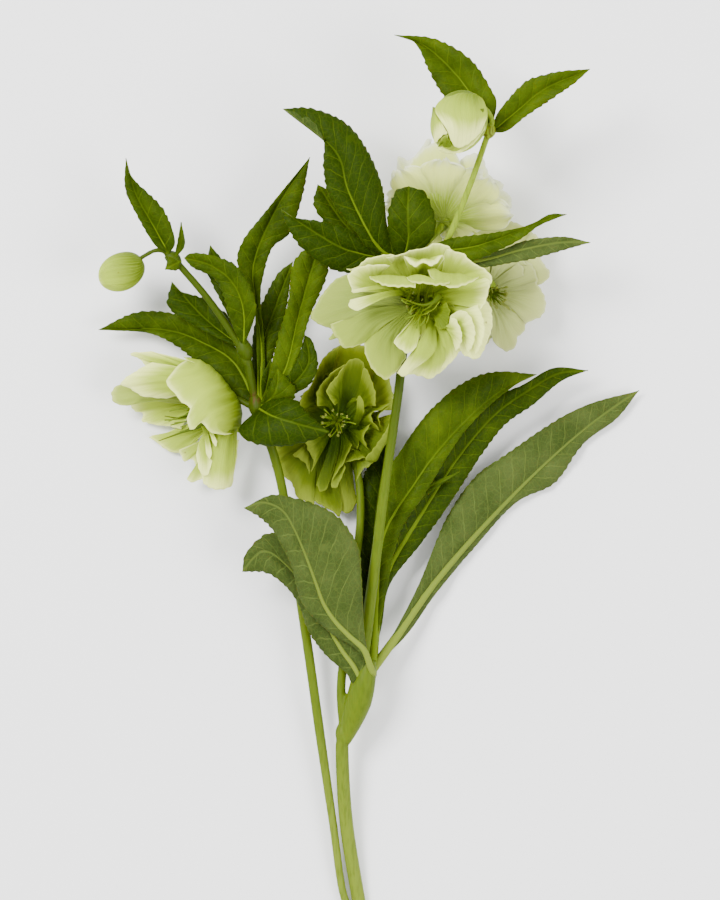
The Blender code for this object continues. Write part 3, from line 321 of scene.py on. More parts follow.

# The petals that show, by bloom: how light each is, partly its own colour and partly painted light and
# shade, its root, and the curves across it out to its lip, in grid steps.
PETALS = {
    "front": (
        (0.0, (49, 604, 50), ((2, 617, 54), (16, 625, 54), (34, 630, 54)),
         ((-23, 629, 60), (-12, 632, 61), (-6, 638, 60), (5, 642, 61), (17, 644, 60), (26, 643, 61),
          (36, 646, 60))),
        (0.1, (50, 604, 50), ((28, 628, 54), (50, 632, 54), (75, 630, 54)),
         ((16, 641, 60), (30, 644, 61), (40, 648, 61.5), (54, 650, 62), (63, 655, 62), (75, 653, 61.5),
          (84, 647, 61))),
        (0.1, (52, 603, 50), ((70, 625, 54), (88, 624, 54), (98, 616, 54)),
         ((74, 651, 60), (83, 647, 61), (92, 645, 61), (102, 636, 61), (114, 629, 60), (121, 622, 59),
          (119, 612, 58))),
        (0.2, (54, 600, 51), ((82, 611, 56), (86, 603, 57), (86, 594, 57)),
         ((120.5, 623, 58), (118.5, 613, 59), (117, 605, 60), (114, 596, 61), (109, 589, 62))),
        (0.1, (45, 603, 51), ((15, 606, 55), (10, 612, 56), (10, 620, 56)),
         ((-17, 607, 63), (-20, 615, 64), (-22, 623, 64), (-16, 629, 64), (-4, 633, 64), (8, 634, 63),
          (20, 633, 63))),
        (-0.2, (50, 604, 52), ((42, 620, 57), (51, 623, 57), (60, 620, 57)),
         ((33, 641, 64), (34.5, 641.5, 65), (41, 635, 67), (45.5, 632.5, 68), (52.5, 638, 67),
          (59, 635.5, 68), (65, 636, 68), (71, 642.5, 66), (74, 640, 65))),
        (0.9, (52, 639, 67),
         ((34, 642, 68), (39, 638.5, 68.6), (45, 635.5, 69), (52, 639.5, 69), (60, 637.5, 69),
          (66, 639, 68.6), (71.5, 643.2, 68)),
         ((34.6, 641.4, 68.2), (38, 636, 69), (43, 631.6, 69.4), (48, 633, 69.4), (52.5, 635.6, 69.4),
          (59, 632.6, 69.4), (65, 634, 69), (71.6, 642.2, 68.2))),
        (-0.9, (54, 603, 53), ((60, 611, 61), (75, 615, 61), (92, 614, 61)),
         ((57, 628, 67), (64, 630, 68), (71, 625.5, 69), (81, 625, 69), (91, 624, 68.6), (100, 621, 68),
          (107, 621.5, 67)),
         ((60, 621, 69.6), (66, 616, 70.6), (74, 612, 71), (83, 610.5, 71), (93, 613, 70.5),
          (102, 617, 69.6), (107, 620, 68))),
        (-0.9, (43, 603, 53), ((34, 610, 61), (22, 612, 61), (12, 615, 60)),
         ((44, 618, 70), (37, 621, 69), (24, 623, 68), (15, 623, 67.4), (7, 623, 66.6), (0, 621.5, 65.5)),
         ((45, 610.5, 71), (38, 611.5, 71.2), (27, 611.5, 71), (17, 612, 70), (7, 616, 68.6),
          (1, 619, 66.6))),
        (-0.9, (50, 603, 54), ((43, 610, 62), (54, 613, 62), (65, 610, 62)),
         ((36, 621, 69.8), (44, 623, 70.6), (50, 623.5, 71.2), (58, 621, 71.4), (66, 618, 71.4),
          (78, 616, 70.6)),
         ((38, 618, 71.4), (44, 615, 72), (50, 615, 72.3), (58, 614, 72.3), (67, 613, 72.2),
          (78, 614.5, 71.2))),
        (0.6, (34, 607, 57), ((16, 607.5, 64), (16, 601, 64)),
         ((-19, 599, 68), (-21.5, 594, 68.5), (-18, 589.5, 68.3), (-12, 588, 67.5))),
        (0.6, (28, 612, 58), ((8, 613.5, 64), (10, 609.5, 64)),
         ((-18, 608.5, 67), (-18.5, 607, 67.3), (-16.5, 605.5, 67))),
        (-0.5, (38, 594, 50), ((8, 616, 54), (-10, 600, 56), (-8, 582, 55)),
         ((-23, 625, 50), (-35.5, 619, 48), (-47, 606, 47), (-53.5, 594.5, 46), (-59.5, 583.5, 45),
          (-52, 576, 46), (-44.5, 572.5, 46.5), (-35.5, 569.5, 47))),
        (-0.5, (30, 586, 48), ((-10, 578, 50), (-8, 572, 50)),
         ((-35, 569, 45), (-41, 560.5, 44), (-33, 561.5, 44.5), (-25, 564, 45))),
        (-0.42, (39, 592, 52), ((2, 590, 57), (2, 580, 58), (14, 574, 58)),
         ((-40, 575, 49), (-37, 567, 48.5), (-32, 560, 48), (-26.5, 551.5, 47.5), (-17, 553, 48),
          (-6, 556.5, 49), (0, 560, 50))),
        (-0.4, (42, 589, 52), ((16, 574, 58), (18, 562, 59), (32, 564, 59)),
         ((-6, 560, 49), (-4.5, 546, 48.5), (0, 534, 48), (6.5, 526, 47.5), (11, 523, 47), (15.5, 519, 47),
          (20, 523, 47.5), (27, 529, 48.5), (36, 542, 50))),
        (0.1, (50, 590, 53), ((42, 580, 58), (37, 570, 60), (49, 564, 60)),
         ((33, 569, 62), (26, 562, 61.5), (24, 556, 61), (30, 550, 60.5), (38.5, 546, 60),
          (46, 552, 60.5))),
        (0.8, (63, 578, 56), ((50, 560, 61), (56, 554, 62.5), (64, 548, 60)),
         ((27, 527, 51), (30, 524, 51), (36, 524, 52), (42, 529, 53))),
        (0.2, (58, 584, 52), ((54, 555, 57), (64, 550, 58), (74, 553, 57)),
         ((35, 526, 49), (45, 524.5, 48.5), (52, 523, 48), (59, 521, 48), (67, 525, 48.5), (75, 531, 49))),
        (0.3, (62, 585, 53), ((70, 560, 58), (77, 563, 59.5), (82, 567, 58)),
         ((70, 529, 50), (77, 534, 51), (83, 540, 52), (88, 546, 53), (93, 554, 54))),
        (0.6, (64, 589, 52), ((80, 566, 58), (90, 568, 60), (97, 580, 59), (94, 593, 57)),
         ((90, 551, 56), (93, 544.5, 56), (97, 543, 56), (102, 540.5, 55.5), (107.5, 541, 55),
          (112.5, 548.5, 55), (116, 556.5, 55), (119.5, 566, 55), (121.5, 576, 55), (120.5, 590, 56),
          (116, 598, 57))),
        (0.5, (66, 586, 55), ((80, 576, 61), (85, 578, 62), (89, 574, 61.5), (90, 562, 60)),
         ((79, 582, 65), (84, 586.5, 66.5), (91, 588, 67), (97, 585, 66.6), (102, 577, 65.6),
          (104, 566, 64), (102, 554, 62), (97, 546, 59.5))),
        (0.4, (64, 584, 56), ((76, 574, 62), (79, 566, 61)),
         ((79.5, 581.5, 66), (85, 579, 66.6), (89, 572, 66), (91, 563, 65), (89, 553, 62), (85, 548, 60))),
        (0.5, (66, 590, 54), ((92, 590, 60), (99, 578, 61), (98, 562, 60)),
         ((106, 594, 62.6), (111, 584, 63), (113.5, 571, 62.4), (111.5, 557, 61), (105, 544, 58.6))),
        (-2.3, (56, 594, 54), ((66, 593, 59), (68, 586, 59.5), (64, 580, 59)),
         ((75, 597, 62.5), (79, 588, 63), (78, 578, 62.5), (74, 570, 61.5), (64, 573, 61))),
        (-2.0, (51, 590, 56), ((57, 591, 60), (56, 587, 60.4)),
         ((66, 596, 63), (69, 597, 63.6), (62, 589, 63.6), (51, 583, 62.6))),
    ),
    "left": (
        (-0.2, (-136, 490, 12), ((-155, 480, 7), (-165, 472, 5.5), (-170, 464, 6)),
         ((-180, 476, 4), (-194, 472, 3), (-210, 466, 3), (-222, 463.5, 3), (-214, 457, 3),
          (-204.5, 450, 3), (-198, 447.5, 3), (-191, 447.5, 3), (-180, 453, 3.4), (-172, 460, 4))),
        (-0.1, (-138, 494, 13), ((-170, 502, 8), (-182, 494, 6.5), (-178, 486, 7)),
         ((-220, 504, 6), (-237, 500, 5), (-240.5, 493.5, 4.4), (-235.5, 488.5, 4.2), (-228, 487, 4.2),
          (-230, 479, 4), (-225, 477.5, 4), (-215, 475, 4), (-204, 474, 4.4), (-190, 471, 5))),
        (-0.45, (-140, 497, 15), ((-190, 512, 16), (-202, 505, 14), (-198, 497, 12)),
         ((-246, 517, 16), (-255, 514, 15), (-259, 509, 14), (-259.5, 503, 13), (-257.5, 498.5, 12.4),
          (-252, 495.5, 12), (-245, 494.5, 12), (-237, 497, 12.4), (-228, 502, 13))),
        (-0.1, (-134, 486, 13), ((-158, 466, 12), (-162, 454, 11), (-154, 448, 11)),
         ((-192, 450, 10), (-187, 438.5, 9.4), (-180, 441, 9.4), (-175, 434.5, 9.4), (-180, 427, 9),
          (-184, 420, 8.6), (-178, 417.5, 8.6), (-172, 420, 9), (-165, 422, 9.6))),
        (0.1, (-140, 499, 18), ((-170, 534, 25), (-178, 529, 25), (-174, 521, 23)),
         ((-191, 542, 26), (-205, 545.5, 26), (-219, 548.5, 25), (-230, 548, 24), (-238.5, 548, 23),
          (-239.5, 544.5, 22.5), (-232, 542, 22), (-224, 534, 21.4))),
        (0.3, (-140, 496, 18), ((-180, 529, 27), (-194, 517, 26), (-186, 504, 22)),
         ((-218, 538, 25), (-228, 533, 24.6), (-236, 528, 24), (-245.5, 522, 23), (-249.5, 515.5, 22),
          (-240.5, 511.5, 21), (-229, 504.5, 20), (-218, 502.5, 19.5), (-204, 502, 19))),
        (0.2, (-134, 490, 14), ((-136, 464, 12), (-135, 450, 10.4), (-144, 444, 10)),
         ((-132, 460, 9), (-133.5, 445, 8), (-136, 432, 8), (-137, 422, 8.4), (-140, 413, 9),
          (-150, 412, 10))),
        (0.2, (-136, 486, 20), ((-162, 464, 25), (-153, 460, 28), (-143, 459, 27), (-134, 462, 20)),
         ((-169, 432, 25), (-167, 417, 24), (-163, 414, 23.4), (-158, 411, 23), (-150, 410.5, 22),
          (-142.5, 412, 20), (-138.5, 417, 18), (-138, 430.5, 16))),
        (0.4, (-144, 482, 24), ((-168, 464, 25), (-163, 460, 27), (-158, 460, 27)),
         ((-174, 445, 24), (-171, 430, 24.6), (-167, 424, 25), (-162, 426, 26), (-158, 438, 27))),
        (0.9, (-166, 474, 26), ((-165.5, 463, 29), (-161, 463, 29.4)),
         ((-164, 447, 29), (-160.5, 441, 29), (-158, 447, 29))),
        (0.9, (-164, 476, 27), ((-161, 468, 30.4), (-157, 467, 30.4)),
         ((-157, 457, 30), (-154, 453.5, 30), (-152.5, 458, 30))),
        (-0.25, (-131, 492, 12),
         ((-183, 540, 18), (-166, 536.5, 20), (-152, 526.5, 20), (-141, 513, 19), (-132.5, 501.5, 18),
          (-128.6, 487, 17), (-130.6, 469, 16)),
         ((-184, 540.5, 22), (-168, 535, 27), (-155, 524, 29), (-145, 511, 29), (-138, 499.5, 27),
          (-132.8, 486, 24), (-135, 468.5, 21)),
         ((-184, 540, 26), (-175, 530, 31), (-170, 518, 35), (-163, 505, 37), (-158, 492, 37.4),
          (-152, 479, 35), (-147, 467, 30)),
         ((-184, 540.5, 26), (-190, 536, 30), (-194.5, 532, 32.4), (-199, 525, 34.6), (-204, 518, 36),
          (-198, 510, 37.4), (-188, 498, 38.6), (-179.5, 492, 39), (-182, 484, 39), (-183, 479, 38.6),
          (-178, 469, 37.6), (-172, 475.5, 37.4), (-168, 478, 37), (-162, 470, 35.4), (-155, 466.5, 33),
          (-146, 465, 30), (-137, 466.5, 24))),
    ),
    "centre": (
        (-0.1, (-32, 482, 8), ((-35, 515, 6), (-20, 522, 6), (-6, 514, 6)),
         ((-48, 538, 9), (-39, 550, 10), (-25, 557, 10), (-10, 556, 10), (4, 548, 10), (17, 524, 10))),
        (0, (-34, 480, 8), ((-52, 495, 8), (-50, 508, 8), (-40, 516, 8)),
         ((-74, 486, 13), (-70.5, 495.5, 13.5), (-67.5, 505.5, 14), (-61, 513, 14), (-56.5, 520, 14),
          (-53, 530, 13.6), (-50, 538, 13), (-41, 548, 12.4), (-30, 555.5, 12))),
        (0.2, (-28, 480, 8), ((-5, 510, 8), (4, 500, 8.6), (0, 488, 8.6)),
         ((9, 538, 11), (16, 528, 12), (21, 516, 12), (23.5, 502, 12), (22.5, 490, 12))),
        (0.3, (-32, 480, 10), ((-29, 508, 12), (-38, 504, 13), (-42, 493, 13)),
         ((-25, 536, 18), (-30, 533, 19.4), (-37, 528.5, 20), (-42, 524, 20), (-46.5, 519, 19.6),
          (-51, 512, 19), (-53.5, 505.5, 18.6), (-53, 494, 17.6))),
        (0, (-30, 480, 10), ((-30, 506, 12), (-20, 512, 11.6), (-10, 506, 12)),
         ((-28, 532, 15), (-22, 539, 16), (-14, 542, 16), (-7, 538, 16), (-2, 526, 16))),
        (0.3, (-32, 480, 12), ((-28, 510, 16.6), (-32, 503, 17), (-32, 496, 16)),
         ((-26, 534, 20.6), (-31, 527, 21.6), (-37, 520, 21.8), (-42, 513, 21.4), (-43, 508, 21),
          (-40, 500.5, 20.6), (-35, 495, 19.6))),
        (0.5, (-28, 479, 10), ((-14, 504, 13), (-7, 501, 14), (-5, 493, 13.4)),
         ((-7, 532, 19), (-3, 530, 20), (1, 522, 20.6), (4, 512, 20.6), (5.5, 503, 20.2), (6, 494, 19.4))),
        (0.8, (-17, 471, 13), ((-14, 488, 19.6), (-6.5, 486, 19.6)),
         ((-13, 501, 22.4), (-10.5, 504.5, 23), (-7.5, 500, 23), (-6, 493, 22.6))),
        (0.2, (-26, 478, 10), ((-4, 491, 14), (-9, 483, 15), (-6, 475, 14)),
         ((21, 497, 18.6), (14, 492, 19), (7, 490, 19.6), (1.5, 486, 20.2), (2, 481.5, 20.4), (5, 476, 20),
          (9, 469.5, 19.4))),
        (0.2, (-20, 480, 12), ((2, 487, 15), (6, 479, 15)),
         ((19, 493, 19.4), (13, 489, 20), (9, 482, 20.4), (10, 473, 19.6))),
        (0.2, (-26, 476, 9), ((-8, 478, 12), (-6, 464, 12), (-13, 454, 12)),
         ((22, 486, 18), (20.5, 475, 18.4), (18, 464, 18.8), (15, 455, 19.2), (10, 447, 19.4),
          (4.5, 438.5, 19.4), (-4, 440, 19.4)),
         ((20, 479, 19.4), (16, 470, 21), (10, 460, 21.6), (3, 451, 21.8), (-4.5, 442.5, 21))),
        (0.4, (-24, 476, 11), ((-12, 470, 14), (-13, 462, 14.6)),
         ((1, 477, 18), (-4, 468, 19), (-6.5, 461, 19.4), (-4, 455, 19), (-1, 450, 18.6))),
        (0, (-28, 472, 9), ((-24, 454, 11), (-18, 455, 11.4), (-14, 454, 11)),
         ((-27, 436, 15.6), (-20, 439, 16.4), (-12, 440.5, 17), (-4, 442, 17.4), (4, 438.5, 17),
          (-2, 433, 16.4), (-8, 430, 16), (-13.5, 418, 15))),
        (0.2, (-30, 472, 10), ((-21, 460, 13), (-29, 452, 13.6), (-29, 445, 13)),
         ((-18, 455, 16.6), (-24, 442, 17.8), (-30, 432, 18.2), (-36, 422, 18.4), (-39.5, 414.5, 18.4),
          (-34, 411.5, 18), (-30, 420, 17.6), (-24, 432, 17))),
        (0.9, (-30, 468, 7), ((-32, 438, 8), (-25, 432, 9), (-18, 436, 8)),
         ((-33, 410, 7.4), (-34, 399, 7.2), (-29, 389, 7), (-21, 386.5, 7), (-15, 394, 7),
          (-13.5, 403, 7.4), (-18, 413, 7.6))),
        (0, (-34, 470, 9), ((-55, 445, 11), (-44, 438, 12), (-33, 438, 11)),
         ((-62, 408, 8), (-57, 400, 8), (-50, 395, 8), (-43, 391, 8), (-37, 388, 8), (-31, 383, 8),
          (-28, 393, 8.4), (-32, 406, 9))),
        (0.5, (-40, 470, 9), ((-72, 462, 11), (-70, 450, 12), (-63, 438, 12), (-52, 434, 11)),
         ((-101.5, 455, 7), (-98, 444, 7), (-95.5, 437, 7), (-100, 433.5, 7), (-91.5, 429, 7),
          (-85.5, 423, 7), (-80, 418, 7.2), (-77, 413, 7.4), (-74, 403.5, 7.4), (-67, 399, 7.6),
          (-56, 393, 7.6))),
        (0.7, (-40, 468, 11), ((-52, 463, 14), (-48, 448, 14.6)),
         ((-66, 460, 15.6), (-62, 450, 16.4), (-57, 440, 16.8), (-59, 428, 16.2))),
        (0.7, (-46, 464, 10), ((-64, 456, 13), (-58, 446, 13.6)),
         ((-78, 445, 13.6), (-71, 441, 14.2), (-64, 435.5, 14.4), (-61, 426, 13.6))),
        (-0.2, (-34, 470, 11), ((-42, 450, 14), (-36, 448, 14.6), (-31, 452, 14)),
         ((-54, 415, 13), (-49, 408, 13.4), (-43, 412, 14), (-37, 428, 15))),
    ),
    "back_top": (
        (0.3, (74, 681, 27), ((48, 702, 24), (44, 696, 23)),
         ((62, 761, 21), (57, 761.5, 21), (49.5, 750, 21), (40, 740.5, 21), (34, 742.5, 21),
          (28.5, 744.5, 21), (27, 736, 21), (27, 722, 21), (30, 710, 21), (38, 704, 21))),
        (0.2, (75, 681, 27), ((80, 710, 28), (93, 710, 28.6), (101, 703, 27.6)),
         ((88, 736, 25), (92, 741, 25), (98, 745.5, 25), (105, 747, 25), (111, 746, 25), (115.5, 736, 25),
          (119.5, 725, 25), (126, 719, 24.6))),
        (0.2, (76, 680, 26), ((92, 697, 27.4), (102, 692, 27.4), (100, 684, 26.6)),
         ((116, 728, 23), (124, 722, 23), (133, 717, 23), (133.5, 710.5, 23), (140.5, 704.5, 23),
          (142, 695.5, 23), (139, 689, 23), (134, 683, 23), (124, 677, 23))),
        (0, (76, 679, 26), ((92, 680, 26), (87, 673, 26), (78, 672, 26)),
         ((130, 681, 20), (119, 674, 20), (107, 668, 20), (96, 661, 20), (86, 656.5, 20), (77, 660, 21),
          (70, 666, 22))),
        (-0.2, (74, 682, 28), ((50, 698, 31.4), (66, 708, 34), (83, 701, 32)),
         ((39, 716, 30), (38, 731, 29.6), (42, 740, 29.4), (48, 746, 29.2), (57, 754, 29), (70, 758, 29),
          (82, 752, 29), (89, 740, 29.2), (92.5, 725, 29.6), (90, 710, 30))),
    ),
    "back_right": (
        (-0.5, (116, 612, 9), ((108, 638, 10), (124, 646, 11), (139, 638, 10)),
         ((96, 660, 12), (104, 667.5, 12.4), (114, 674, 13), (124, 678.5, 13), (134.5, 681, 13),
          (142, 680, 13), (148.5, 677.5, 13), (158, 672, 12.8), (168, 665, 12.4))),
        (-0.5, (118, 611, 9), ((138, 634, 11), (144, 625, 12), (142, 614, 11)),
         ((162, 669, 13.6), (170, 662, 14), (169, 650, 14), (173, 639, 14), (180.5, 629, 13.8),
          (179, 622, 13.6), (168, 614.5, 13.4))),
        (-0.5, (119, 609, 9), ((140, 613, 12), (145, 603, 13), (140, 594, 12)),
         ((166, 619, 15), (172, 611, 15.2), (175.5, 603, 15.4), (176.5, 596, 15.4), (175.5, 590, 15.2),
          (172, 584, 15), (164, 580.5, 14.6), (156, 576.5, 14))),
        (-0.5, (118, 607, 9), ((137, 592, 12), (132, 582, 13), (123, 585, 12)),
         ((161, 582, 12.6), (156.5, 576, 12.6), (155, 569, 12.4), (149, 564.5, 12.2), (147.5, 559, 12),
          (145.5, 553, 11.8), (137.5, 549, 11.4), (128, 554.5, 11.2), (124, 560, 11), (121, 566, 11))),
        (-0.5, (115, 607, 8), ((119, 588, 9), (113, 586, 9)),
         ((123, 564, 8.6), (118, 557, 8.4), (112.5, 551.5, 8), (107, 555, 8), (104, 562, 8))),
        (-0.5, (117, 610, 11), ((130, 624, 13), (135, 618, 13.4)),
         ((149, 638, 14.6), (154, 633, 15), (154, 625, 14.6))),
        (-0.5, (116, 610, 10), ((122, 630, 13), (133, 634, 13.5), (142, 632, 13)),
         ((122, 640, 14.5), (134, 645, 15), (150, 643, 15), (158, 636, 15))),
        (-0.5, (117, 610, 9.5), ((132, 622, 13), (142, 617, 13), (146, 608, 12.5)),
         ((152, 644, 14), (164, 634, 14.4), (168, 620, 14.4), (166, 606, 14))),
    ),
}

# Each bud: middle, the way its tip points, half length and radius.
BUDS = {
    "top": ((35.4, 310.4, 59.5), (-0.42, -0.88, -0.06), 13.0, 11.0),
    "left": ((-99.4, 251.4, 27.2), (-0.90, -0.43, 0.0), 9.7, 7.5),
}

# The sepals that show on the top bud: how light each is, partly its own colour and partly painted light
# and shade, how high it lies over the bud, its root, and the curves across it, in grid steps.
BUD_SEPALS = {
    "top": (
        (0.95, 0.9, (102, 803),
         (((74, 799), (86, 802), (98, 801.5), (112, 797)),
          ((64.5, 788), (76, 787), (90, 787), (104, 787), (116, 783)),
          ((70, 776), (80, 772), (92, 770), (104, 772), (113, 773)),
          ((77, 766.5), (79, 760), (82, 753), (88, 749), (97, 753), (104, 759), (110, 765)))),
        (0.9, 0.7, (64, 790),
         (((61, 776), (66, 776), (72, 772)),
          ((64, 752), (66.5, 756), (70, 760), (76.5, 764)))),
        (0.3, 0.3, (110, 788),
         (((114, 770), (104, 768), (92, 766)),
          ((112, 766), (105, 756), (98, 750), (90, 745), (82, 743.5), (74, 745), (67, 748)))),
        (-1.6, 0.75, (76, 750),
         (((82, 752), (77, 756), (71, 753)),
          ((81.5, 750.5), (77.5, 755), (76, 762), (70, 757.5), (67, 750)))),
    ),
}

# How fine the meshes are: rows, columns, rings, sides or points.
CURVE_STEPS = 24
LEAF_ROWS = 96
LEAF_COLUMNS = 21
RIB_POINTS = 12
RIB_ROWS = 60
RIB_SIDES = 10
PETAL_ROWS = 36
PETAL_COLUMNS = 31
BUD_ROWS = 44
BUD_COLUMNS = 30
BUD_CORE_GRID = (24, 32)
STEM_FINENESS = 8
STEM_SIDES = 24
SLEEVE_FINENESS = 6
SLEEVE_SIDES = 28
SWELL_POINTS = 15

# Blades, rods and the joined stem. Lengths are in millimetres, the rest are shares.
EDGE_MARGIN = 0.02
END_PINCH = 0.02
SIDE_THINNING = 0.55
TIP_THINNING = 0.45
STEM_VOXEL = 0.6
KNOT_REACH = 1.3
KNOT_TAPER = (0.55, 0.92, 1.0, 0.92, 0.55)

# Leaves: their arch and waves, their teeth, their veins and their ribs.
LEAF_THICKNESS = 0.45
LEAF_LEAST_REACH = 0.35
ARCH_SHARE = 0.13
ARCH_HEIGHT = 0.25
WAVE_LENGTH = 26.0
FINE_WAVE = 0.35
FINE_WAVE_LENGTH = 9.0
FOLD_DEPTH = 0.30
TOOTH_SPACING = 3.2
TOOTH_SIZE = 0.65
TOOTH_RISE = 0.72
TOOTH_FALL = 0.28
TOOTH_START = 0.16
TOOTH_FULL_REACH = 6.0
FEWEST_TEETH = 5
VEIN_SPACING = 7.0
VEIN_LEAN = 1.1
VEIN_CURVE = 0.02
GROOVE_WIDTH = 0.10
GROOVE_DEPTH = 0.22
PUFF_HEIGHT = 0.20
RIB_SUNK = 3.6
RIB_TAPER = (1.15, 0.85, 0.55, 0.3, 0.12)

# Petals: their thickness and root, their curled lip, their round end, and their ruffles.
PETAL_SKIN = 0.28
PETAL_CLAW = 1.3
PETAL_ROOT_RADIUS = 2.6
PETAL_CUP = 0.18
PETAL_STRAY = 0.06
LIP_CURL = (6, 20)
LIP_START = 0.82
LIP_LENGTH = 0.18
ROUND_START = 0.78
ROUND_LENGTH = 0.235
MIDDLE_FOLD = 0.30
RUFFLE_LENGTH = 7.0
FOLD_HEIGHT = 0.22
NIBBLE_SIZE = 0.30

# The petals behind are opened and curled by some degrees more and stand lower than in the model.
BACK_OPENING = 14
BACK_CURL = 24
BACK_DROP = 2.0

# The heart of a bloom: its core, its stamens, its seed cases and its fine threads.
CORE_ROUTE = ((0, 0, -2.4), (0, 0, -1.2), (0, 0, 2.2))
CORE_RADII = (2.2, 4.2, 4.4, 3.6)
GOLDEN_TURN = 0.382
STAMEN_FOOT = 2.6
STAMEN_SPREAD = 5.4
STALK_RADII = (0.24, 0.20, 0.17)
HEAD_RADII = (0.14, 0.26, 0.28, 0.22, 0.12)
CASE_COUNT = 4
CASE_FOOT = 2.4
CASE_RISE = 2.0
CASE_SPREAD = 3.2
CASE_RADII = (0.9, 1.25, 1.1, 0.55, 0.34, 0.26, 0.24)
THREAD_RADII = (0.34, 0.28, 0.20, 0.26, 0.3)
STYLE_RADII = (1.3, 1.0, 0.5, 0.32, 0.2)

# Kinds of corner: the first number says how light a petal is, or which part of a heart it is.
CORE_KIND = (-2.5, 0.0, 0.0)
HEAD_KIND = (1.0, 0.0, 0.0)
CASE_KIND = (2.0, 0.0, 0.0)

# Buds: their sepals, and the domed ellipse of the top bud on which the sepals in BUD_SEPALS lie,
# its middle and reach in grid steps and its heights in millimetres.
BUD_SEPAL_COUNT = 5
BUD_SEPAL_WIDTH = 118.0
BUD_SEPAL_SKIN = 0.5
BUD_TWIST = 26.0
BUD_WRAP = 0.06
BUD_RUFFLE = 0.12
BUD_HEIGHT = 59.5
BUD_LIFT = 11.4
BUD_MIDDLE = (89.0, 776.0)
BUD_AXIS = (-0.43, -0.90)
BUD_REACH = (34.0, 29.0)

# Camera and light: the frame in millimetres, places and sizes in metres, power in watts.
SENSOR_WIDTH = 36.0
CAMERA_HEIGHT = 4.0
CLIP_END = 100.0
FRAME_HEIGHT = 360.0
FRAME_MIDDLE = (-4.0, 180.0)
FRAME_LEVEL = 30.0
FLOOR_WIDTH = 8.0
FLOOR_LIGHTNESS = 0.92
SKY_STRENGTH = 1.35
LIGHTS = (
    ("soft_key", (-1.6, 1.2, 2.6), 1.2, 190.0),
    ("soft_fill", (1.8, -0.6, 2.2), 1.6, 76.0),
)

# Colours, as linear red, green, blue.
# LEAF_DARK and LEAF_LIGHT, and UNDER_DARK and UNDER_LIGHT, stand partly for a leaf in painted shade and in
# painted light; each leaf's tone and random patches blend them.
LEAF_DARK = (0.012, 0.027, 0.000, 1)
LEAF_LIGHT = (0.066, 0.105, 0.000, 1)
LEAF_VEIN = (0.110, 0.165, 0.003, 1)
RIB_PALE = (0.170, 0.225, 0.024, 1)
UNDER_DARK = (0.026, 0.044, 0.006, 1)
UNDER_LIGHT = (0.064, 0.088, 0.020, 1)
UNDER_VEIN = (0.120, 0.165, 0.030, 1)
STEM_LOW = (0.140, 0.190, 0.014, 1)
STEM_MIDDLE = (0.078, 0.118, 0.002, 1)
STEM_HIGH = (0.034, 0.056, 0.000, 1)
STEM_STREAK = (0.040, 0.070, 0.001, 1)
STEM_PALE = (0.200, 0.280, 0.012, 1)
MARK_BROWN = (0.070, 0.028, 0.006, 1)
SPECK_BROWN = (0.090, 0.060, 0.010, 1)
STAMEN_ROOT = (0.080, 0.130, 0.002, 1)
STAMEN_STALK = (0.120, 0.180, 0.006, 1)
STAMEN_HEAD = (0.210, 0.240, 0.040, 1)
CASE_GREEN = (0.052, 0.082, 0.000, 1)
CASE_TIP = (0.080, 0.112, 0.000, 1)

# Each kind of petal: its colour at the base, in the middle, at the rim, on the veins, where dull. The rim
# colour also makes the pale lip: a pale margin with a painted highlight.
PETAL_COLOURS = {
    # The last colour of each kind, where dull, is painted shade.
    "cream": ((0.080, 0.122, 0.000, 1), (0.340, 0.450, 0.030, 1), (0.860, 0.940, 0.250, 1),
              (0.250, 0.360, 0.030, 1), (0.190, 0.245, 0.045, 1)),
    "white": ((0.200, 0.290, 0.008, 1), (0.600, 0.670, 0.160, 1), (0.700, 0.730, 0.480, 1),
              (0.460, 0.520, 0.200, 1), (0.330, 0.360, 0.130, 1)),
    # The green kind, for the centre bloom, is darker as painted shade: that bloom lies in the shade of the
    # front bloom and a leaf.
    "green": ((0.018, 0.042, 0.000, 1), (0.058, 0.090, 0.000, 1), (0.160, 0.210, 0.014, 1),
              (0.050, 0.085, 0.000, 1), (0.018, 0.042, 0.000, 1)),
}

# Where the stem's colour changes up its length, where its pale stalk is, and the middles of its
# brown marks, in metres on the object.
LOW_BAND = (-0.150, -0.075)
HIGH_BAND = (-0.010, 0.040)
STALK_ABOVE = (0.085, 0.105)
STALK_RIGHT = (0.005, 0.012)
STEM_MARKS = ((-0.0460, 0.0375, 0.0230), (0.0476, 0.1431, 0.0485))
MARK_EDGE = (0.0012, 0.0042)

# How shiny the surfaces are, and how rough a leaf is below and above.
LEAF_SHINE = 0.05
SOFT_SHINE = 0.1
LEAF_ROUGHNESS = (0.66, 0.50)

# Patterns of the leaves. Scales are for a millimetre, and the relief is in metres.
SWAY_SCALE = 0.16
SWAY_SIZE = 3.0
SIDE_VEIN_EDGE = (0.015, 0.075)
MIDRIB_EDGE = (0.30, 0.85)
NET_SCALE = 0.42
NET_EDGE = (0.0, 0.10)
NET_STRENGTH = 0.45
FINE_NET_SCALE = 1.3
FINE_NET_EDGE = (0.0, 0.16)
FINE_NET_STRENGTH = 0.22
VEIN_STRENGTH = 0.24
UNDER_VEIN_STRENGTH = 0.42
PATCH_SCALE = 0.07
LEAF_GRAIN_SCALE = 2.2
LEAF_RELIEF = 0.00028

# Patterns of the petals, over the petal's own width and length. Specks are placed in metres.
CLOUD_STRETCH = (2.2, 1.1)
CLOUD_SCALE = 2.2
CRUMPLE_SCALE = 9.0
VEIN_WANDER = 0.9
FAN_COUNT = 5.5
FAN_EDGE = (0.02, 0.20)
FORK_COUNT = 13.0
FORK_EDGE = (0.03, 0.3)
PETAL_VEIN_STRENGTH = 0.42
TONE_REACH = 0.30
MIDDLE_REACH = (0.20, 0.84)
RIM_REACH = (0.80, 1.12)
